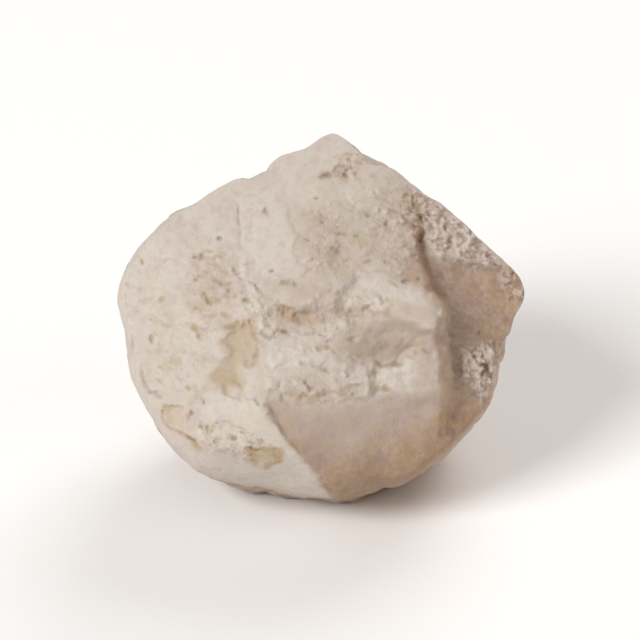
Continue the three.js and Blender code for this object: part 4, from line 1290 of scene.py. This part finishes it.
@dataclass
class Lump:
    """The whole specimen as one mesh."""

    girdle: Girdle = field(default_factory=Girdle)
    face: ShowFace = field(default_factory=ShowFace)
    back: BackFace = field(default_factory=BackFace)
    weathering: Weathering = field(default_factory=Weathering)
    front_depth: float = 34.0  # from the girdle to the fullest point of the front
    back_depth: float = 29.0  # from the girdle to the fullest point of the back
    front_squareness: float = 3.6  # how square the section is in front of the girdle
    back_squareness: float = 2.9  # the same behind it
    rest_drop: float = 31.6  # from the middle of the lump down to the flat that it rests on
    sway: float = 3.5  # how far the girdle wanders in front of and behind its own plane
    sway_width: float = 12  # how soon that wandering dies out away from the girdle
    sway_turn: float = 0.6  # where round the girdle the wandering starts, in radians
    crowding: float = 0.22  # how far the mesh's points crowd towards the show face
    uneven_rise: Range = (0.25, 1.1)  # broad lumps: on the show face, then behind the girdle
    uneven_size: Range = (6, 11)  # the same
    fine_rise: float = 0.3  # smaller lumps all over
    fine_size: float = 4
    sphere_level: int = 8
    triangle_limit: int = 196_000
    middle: Vector = field(default_factory=Vector)

    def shape(self, s: Grid) -> Skin:
        """Places directions of the starting sphere on the lump.

        Args:
            s: one unit direction a row, in the face frame.

        Returns:
            The lump's points, with what lies on each.
        """
        s = s.copy()
        s[:, 2] += self.crowding * (1 - s[:, 2] ** 2)
        s /= np.linalg.norm(s, axis=1)[:, None]
        angle = np.arctan2(s[:, 1], s[:, 0])
        spread = np.hypot(s[:, 0], s[:, 1])
        front = s[:, 2] >= 0
        behind = along(BEHIND_SECTION, s[:, 2])
        radius = mix(self.girdle.radius(angle), self.girdle.rounded_radius(angle), behind)
        depth = np.where(front, self.front_depth, self.back_depth)
        front_power = self.front_squareness + np.cos(angle - math.radians(70))
        back_power = self.back_squareness + 0.9 * np.cos(angle + math.pi / 2)
        power = np.where(front, front_power, back_power)
        reach = ((spread / radius) ** power + (np.abs(s[:, 2]) / depth) ** power) ** (-1 / power)
        u, v, wall = reach * s[:, 0], reach * s[:, 1], reach * np.abs(s[:, 2])
        w = np.empty_like(u)
        show = self.face.relief(u[front], v[front])
        w[front] = soft_min(show.height, wall[front], CRISP)
        w[~front] = -soft_min(self.back.relief(u[~front], v[~front]), wall[~front], WORN)
        sway = self.sway * np.sin(2 * angle + self.sway_turn)
        w += sway * np.exp(-((w / self.sway_width) ** 2)) * spread**4
        on_face = along(ON_FACE, show.height - wall[front])
        coats = {coat: np.zeros(len(s)) for coat in Coat}
        for coat, amount in show.coats.items():
            coats[coat][front] = amount * on_face
        skin = Skin(np.stack([u, v, w], 1), coats)
        self.roughen(skin)
        self.weathering.wear(skin)
        return skin

    def roughen(self, skin: Skin) -> None:
        """Adds broad unevenness, stronger behind the girdle than on the show face.

        Args:
            skin: the lump's points.
        """
        x, y, z = skin.points.T
        behind = along(BEHIND_ROUGH, z)
        rise, size, fine = mix(*self.uneven_rise, behind), mix(*self.uneven_size, behind), self.fine_size
        broad = rise * lumps(x / size, y / size, z / size, 3)
        skin.push(broad + self.fine_rise * lumps(x / fine, y / fine, z / fine, 5))

    def lean(self, p: Grid) -> Grid:
        """Leans the lump back to where it rests.

        Args:
            p: points of the face frame, in millimetres.

        Returns:
            The leaned points.
        """
        x, y, z = p.T
        sine, cosine = math.sin(LEAN), math.cos(LEAN)
        return np.stack([x, y * sine - z * cosine, y * cosine + z * sine], 1)

    def build(self) -> bpy.types.Object:
        """Makes the lump's mesh in place.

        Returns:
            The finished piece, in metres.
        """
        bpy.ops.object.select_all(action="DESELECT")
        bpy.ops.mesh.primitive_ico_sphere_add(subdivisions=self.sphere_level, radius=1)
        piece = bpy.context.object
        piece.name = "thenardite_lump"
        mesh = piece.data
        s = np.empty(len(mesh.vertices) * 3)
        mesh.vertices.foreach_get("co", s)
        s = s.reshape(-1, 3)
        s /= np.linalg.norm(s, axis=1)[:, None]
        skin = self.shape(s)
        placed = self.lean(skin.points)
        placed[:, 2] = np.maximum(placed[:, 2], -self.rest_drop) + self.rest_drop
        low, high = (np.array(corner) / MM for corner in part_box(NODE))
        shift = (low + high) / 2 - (placed.min(0) + placed.max(0)) / 2
        placed[:, :2] += shift[:2]
        self.middle = Vector((shift[0], shift[1], self.rest_drop)) * MM

        placed = np.clip(placed, low, high)
        mesh.vertices.foreach_set("co", (placed * MM).ravel())
        for coat, amount in skin.coats.items():
            mesh.attributes.new(coat.value, "FLOAT", "POINT").data.foreach_set("value", amount)
        mesh.update()
        self.thin(piece)
        bpy.ops.object.shade_smooth()
        return piece

    def thin(self, piece: bpy.types.Object) -> None:
        """Spends fewer triangles where the surface is plain.

        Args:
            piece: the lump's mesh.
        """
        modifier = piece.modifiers.new("thin", "DECIMATE")
        modifier.ratio = min(1.0, self.triangle_limit / len(piece.data.polygons))
        bpy.ops.object.modifier_apply(modifier=modifier.name)


# ------------------------------------------------------------------ shader building


@dataclass(frozen=True)
class Wire:
    """One output of a shader node, which can be used in sums."""

    sheet: "Sheet"
    socket: bpy.types.NodeSocket

    def maths(self, operation: str, first: "Value", second: "Value") -> "Wire":
        """Returns the result of a maths node on two values."""
        return self.sheet.node("ShaderNodeMath", {"operation": operation}, {0: first, 1: second})

    def __add__(self, other: "Value") -> "Wire":
        """Returns the sum."""
        return self.maths("ADD", self, other)

    __radd__ = __add__

    def __mul__(self, other: "Value") -> "Wire":
        """Returns the product."""
        return self.maths("MULTIPLY", self, other)

    __rmul__ = __mul__

    def __sub__(self, other: "Value") -> "Wire":
        """Returns this less the other."""
        return self.maths("SUBTRACT", self, other)

    def __rsub__(self, other: "Value") -> "Wire":
        """Returns the other less this."""
        return self.maths("SUBTRACT", other, self)

    def ramp(self, start: float, end: float) -> "Wire":
        """Turns a range of values into an eased rise.

        Args:
            start: the value that gives 0.
            end: the value that gives 1, which may be the lower one.

        Returns:
            The wire of the rise.
        """
        if start > end:
            return 1 - self.ramp(end, start)
        inputs = {"Value": self, "From Min": start, "From Max": end}
        return self.sheet.node("ShaderNodeMapRange", {"interpolation_type": "SMOOTHSTEP"}, inputs)


Value = Wire | float | Sequence[float]
Colour = tuple[float, float, float, float]


@dataclass(frozen=True)
class Sheet:
    """A material's node tree."""

    tree: bpy.types.NodeTree

    def node(self, kind: str, settings: dict[str, object], inputs: dict[object, Value],
             output: object = 0) -> Wire:
        """Adds a node.

        Args:
            kind: the node's type.
            settings: its options, set before its sockets.
            inputs: values or wires by socket name or number.
            output: the name or number of the socket to return.

        Returns:
            The wire from that socket.
        """
        made = self.tree.nodes.new(kind)
        for name, setting in settings.items():
            setattr(made, name, setting)
        for name, value in inputs.items():
            self.put(made.inputs[name], value)
        return Wire(self, made.outputs[output])

    def put(self, socket: bpy.types.NodeSocket, value: Value) -> None:
        """Links a wire to a socket or sets its value.

        Args:
            socket: the socket of a node.
            value: what it takes.
        """
        if isinstance(value, Wire):
            self.tree.links.new(value.socket, socket)
        else:
            socket.default_value = value

    def blend(self, below: Value, above: Value, amount: Value) -> Wire:
        """Returns one colour laid over another by an amount."""
        return self.node("ShaderNodeMix", {"data_type": "RGBA"}, {0: amount, 6: below, 7: above}, 2)

    def noise(self, place: Wire, size: float, detail: float = 3.0, roughness: float = 0.55) -> Wire:
        """Returns noise whose lumps are of a size in millimetres, from 0 to 1."""
        inputs = {"Vector": place, "Scale": 1 / size, "Detail": detail, "Roughness": roughness}
        return self.node("ShaderNodeTexNoise", {"noise_dimensions": "3D"}, inputs)

    def coat(self, coat: Coat) -> Wire:
        """Returns how much of a coat lies on the surface."""
        return self.node("ShaderNodeAttribute", {"attribute_name": coat.value}, {}, "Fac")


@dataclass(frozen=True)
class StoneFinish:
    """Matt whitish stone with chalky crust, tan soil films and brown earth in its pits, and painted shade
    laid in the same tan, soil, earth and rust colours in shaded places.
    """

    cream: Colour = (0.575, 0.516, 0.460, 1)
    blush: Colour = (0.545, 0.455, 0.405, 1)
    straw: Colour = (0.545, 0.485, 0.385, 1)
    chalk: Colour = (0.640, 0.590, 0.530, 1)
    tan: Colour = (0.415, 0.310, 0.230, 1)
    soil: Colour = (0.404, 0.268, 0.176, 1)
    earth: Colour = (0.235, 0.150, 0.098, 1)
    ochre: Colour = (0.400, 0.285, 0.130, 1)
    lilac: Colour = (0.440, 0.365, 0.345, 1)
    olive: Colour = (0.460, 0.420, 0.290, 1)
    rust: Colour = (0.370, 0.198, 0.100, 1)
    mauve: Colour = (0.350, 0.240, 0.220, 1)
    bistre: Colour = (0.300, 0.230, 0.120, 1)
    crystal_size: float = 0.8  # in millimetres, like the next
    bump_depth: float = 0.35
    bump_strength: float = 0.8

    def dress(self, piece: bpy.types.Object) -> None:
        """Gives the piece its material.

        Args:
            piece: the lump, with its coats.
        """
        material = bpy.data.materials.new("thenardite_stone")
        material.use_nodes = True
        sheet = Sheet(material.node_tree)
        shader = material.node_tree.nodes["Principled BSDF"]
        coat = {kind: sheet.coat(kind) for kind in Coat}
        grain, grit, soil = coat[Coat.GRAIN], coat[Coat.GRIT], coat[Coat.SOIL]
        here = sheet.node("ShaderNodeTexCoord", {}, {}, "Object")
        place = sheet.node("ShaderNodeVectorMath", {"operation": "SCALE"}, {0: here, "Scale": 1 / MM})
        aside = sheet.node("ShaderNodeVectorMath", {"operation": "ADD"}, {0: place, 1: (37.0, 11.0, 53.0)})
        mottle = sheet.noise(place, 1.4, 4.0)
        speckle = sheet.noise(place, 0.5, 2.0)
        tinge = sheet.noise(aside, 2.4, 3.0)
        dots = sheet.noise(aside, 0.9, 2.0).ramp(0.57, 0.66) * mottle.ramp(0.38, 0.52)
        patchy = sheet.noise(place, 9.0).ramp(0.45, 0.65)
        clouds = sheet.noise(place, 4.0)
        cloudy, crumbly = clouds.ramp(0.35, 0.65), mottle.ramp(0.35, 0.6)
        cell = {"Vector": place, "Scale": 1 / self.crystal_size}
        crystal = sheet.node("ShaderNodeTexVoronoi", {}, cell, "Color")
        pick = sheet.node("ShaderNodeSeparateColor", {}, {0: crystal}, 0)
        facet = sheet.node("ShaderNodeTexVoronoi", {}, cell, "Distance")

        # Films from the lowest up: the colour of each and how strongly it covers.
        base = self.cream
        for colour, amount in (
            (self.blush, patchy * 0.48),
            (self.straw, clouds.ramp(0.5, 0.7) * 0.5),
            (self.chalk, coat[Coat.CHALK] * (0.5 + crumbly * 0.5)),
            (self.tan, coat[Coat.TAN] * (0.45 + cloudy * 0.4)),
            (self.soil, soil * (0.58 + cloudy * 0.2)),
            (self.tan, mottle.ramp(0.55, 0.75) * (0.25 + grain * 0.35)),
            (self.chalk, speckle.ramp(0.6, 0.72) * (0.15 + grain * 0.5)),
            (self.lilac, tinge.ramp(0.52, 0.66) * (0.30 - soil * 0.25)),
            (self.olive, tinge.ramp(0.46, 0.34) * (0.30 - soil * 0.25)),
            (self.mauve, soil * tinge.ramp(0.50, 0.62) * 0.5),
            (self.ochre, soil * tinge.ramp(0.50, 0.38) * 0.45),
            (self.ochre, coat[Coat.OCHRE] * 0.8),
            (self.lilac, coat[Coat.HAZE]),
            (self.bistre, dots * coat[Coat.FLECK] * 0.6),
            (self.mauve, grit * pick.ramp(0.70, 0.76) * 0.55),
            (self.chalk, grit * pick.ramp(0.32, 0.26) * 0.45),
            (self.rust, coat[Coat.RUST] * (0.35 + crumbly * 0.5)),
            (self.earth, coat[Coat.EARTH] * (0.35 + crumbly * 0.45)),
        ):
            base = sheet.blend(base, colour, amount)
        sheet.put(shader.inputs["Base Color"], base)
        sheet.put(shader.inputs["Roughness"], 0.82 + speckle * 0.12)
        shader.inputs["Specular IOR Level"].default_value = 0.25

        height = mottle * (0.4 + grain * 0.5) + speckle * (0.25 + (grain - grit) * 0.3) - facet * grit * 0.35
        relief = {"Height": height, "Distance": self.bump_depth * MM, "Strength": self.bump_strength}
        sheet.put(shader.inputs["Normal"], sheet.node("ShaderNodeBump", {}, relief, "Normal"))
        piece.data.materials.append(material)


# ------------------------------------------------------------------ the studio


@dataclass
class Studio:
    """Pale floor, soft light and the camera."""

    target: Vector
    frame_width: float = 0.130
    lens: float = 150.0
    sensor: float = 36.0

    def build(self) -> None:
        """Adds the floor, the lights and the camera."""
        bpy.ops.object.select_all(action="DESELECT")
        bpy.ops.mesh.primitive_plane_add(size=6, location=(0, 0, 0))
        floor = bpy.context.object
        floor.name = "floor"
        paint = bpy.data.materials.new("floor")
        paint.use_nodes = True
        surface = paint.node_tree.nodes["Principled BSDF"]
        surface.inputs["Base Color"].default_value = (0.93, 0.93, 0.93, 1)
        surface.inputs["Roughness"].default_value = 0.9
        floor.data.materials.append(paint)

        back = Vector((0, -math.cos(LEAN), math.sin(LEAN)))
        distance = self.frame_width * self.lens / self.sensor
        camera_data = bpy.data.cameras.new("camera")
        camera_data.lens = self.lens
        camera_data.sensor_width = self.sensor
        camera = bpy.data.objects.new("camera", camera_data)
        bpy.context.scene.collection.objects.link(camera)
        camera.location = self.target + back * distance
        camera.rotation_euler = (-back).to_track_quat("-Z", "Y").to_euler()
        bpy.context.scene.camera = camera

        self.area("key", Vector((-0.60, -0.52, 0.61)), 2.4, 1.0, 46, (1, 1, 1))
        self.area("back", Vector((0.35, 0.70, 0.62)), 2.4, 1.6, 30, (1, 1, 1))
        self.area("warm", Vector((0.80, -0.30, 0.59)), 1.2, 0.8, 1.8, (1, 0.73, 0.57))
        world = bpy.data.worlds.new("studio")
        bpy.context.scene.world = world
        world.use_nodes = True
        sky = world.node_tree.nodes["Background"]
        sky.inputs["Color"].default_value = (1, 0.95, 0.9, 1)
        sky.inputs["Strength"].default_value = 0.3
        bpy.context.scene.view_settings.view_transform = "Standard"

    def area(self, name: str, toward: Vector, distance: float, size: float, power: float,
             tint: Sequence[float]) -> None:
        """Adds one square light that looks at the lump from a direction.

        Args:
            name: what the light is called.
            toward: the direction from the lump to the light.
            distance: how far away it stands, in metres.
            size: the length of its side, in metres.
            power: its power in watts.
            tint: its colour.
        """
        data = bpy.data.lights.new(name, "AREA")
        data.energy = power
        data.size = size
        data.color = tint
        light = bpy.data.objects.new(name, data)
        bpy.context.scene.collection.objects.link(light)
        light.location = toward.normalized() * distance
        light.rotation_euler = toward.to_track_quat("Z", "Y").to_euler()


def main() -> None:
    """Builds the specimen and the studio, and reports each piece."""
    logging.basicConfig(level=logging.INFO, format="%(name)s: %(message)s")
    lump = Lump()
    piece = lump.build()
    Studio(lump.middle).build()
    StoneFinish().dress(piece)
    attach(piece, "root")
    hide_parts(NODE)
    log.info("%s: %d triangles", piece.name, len(piece.data.polygons))


if __name__ == "__main__":
    main()
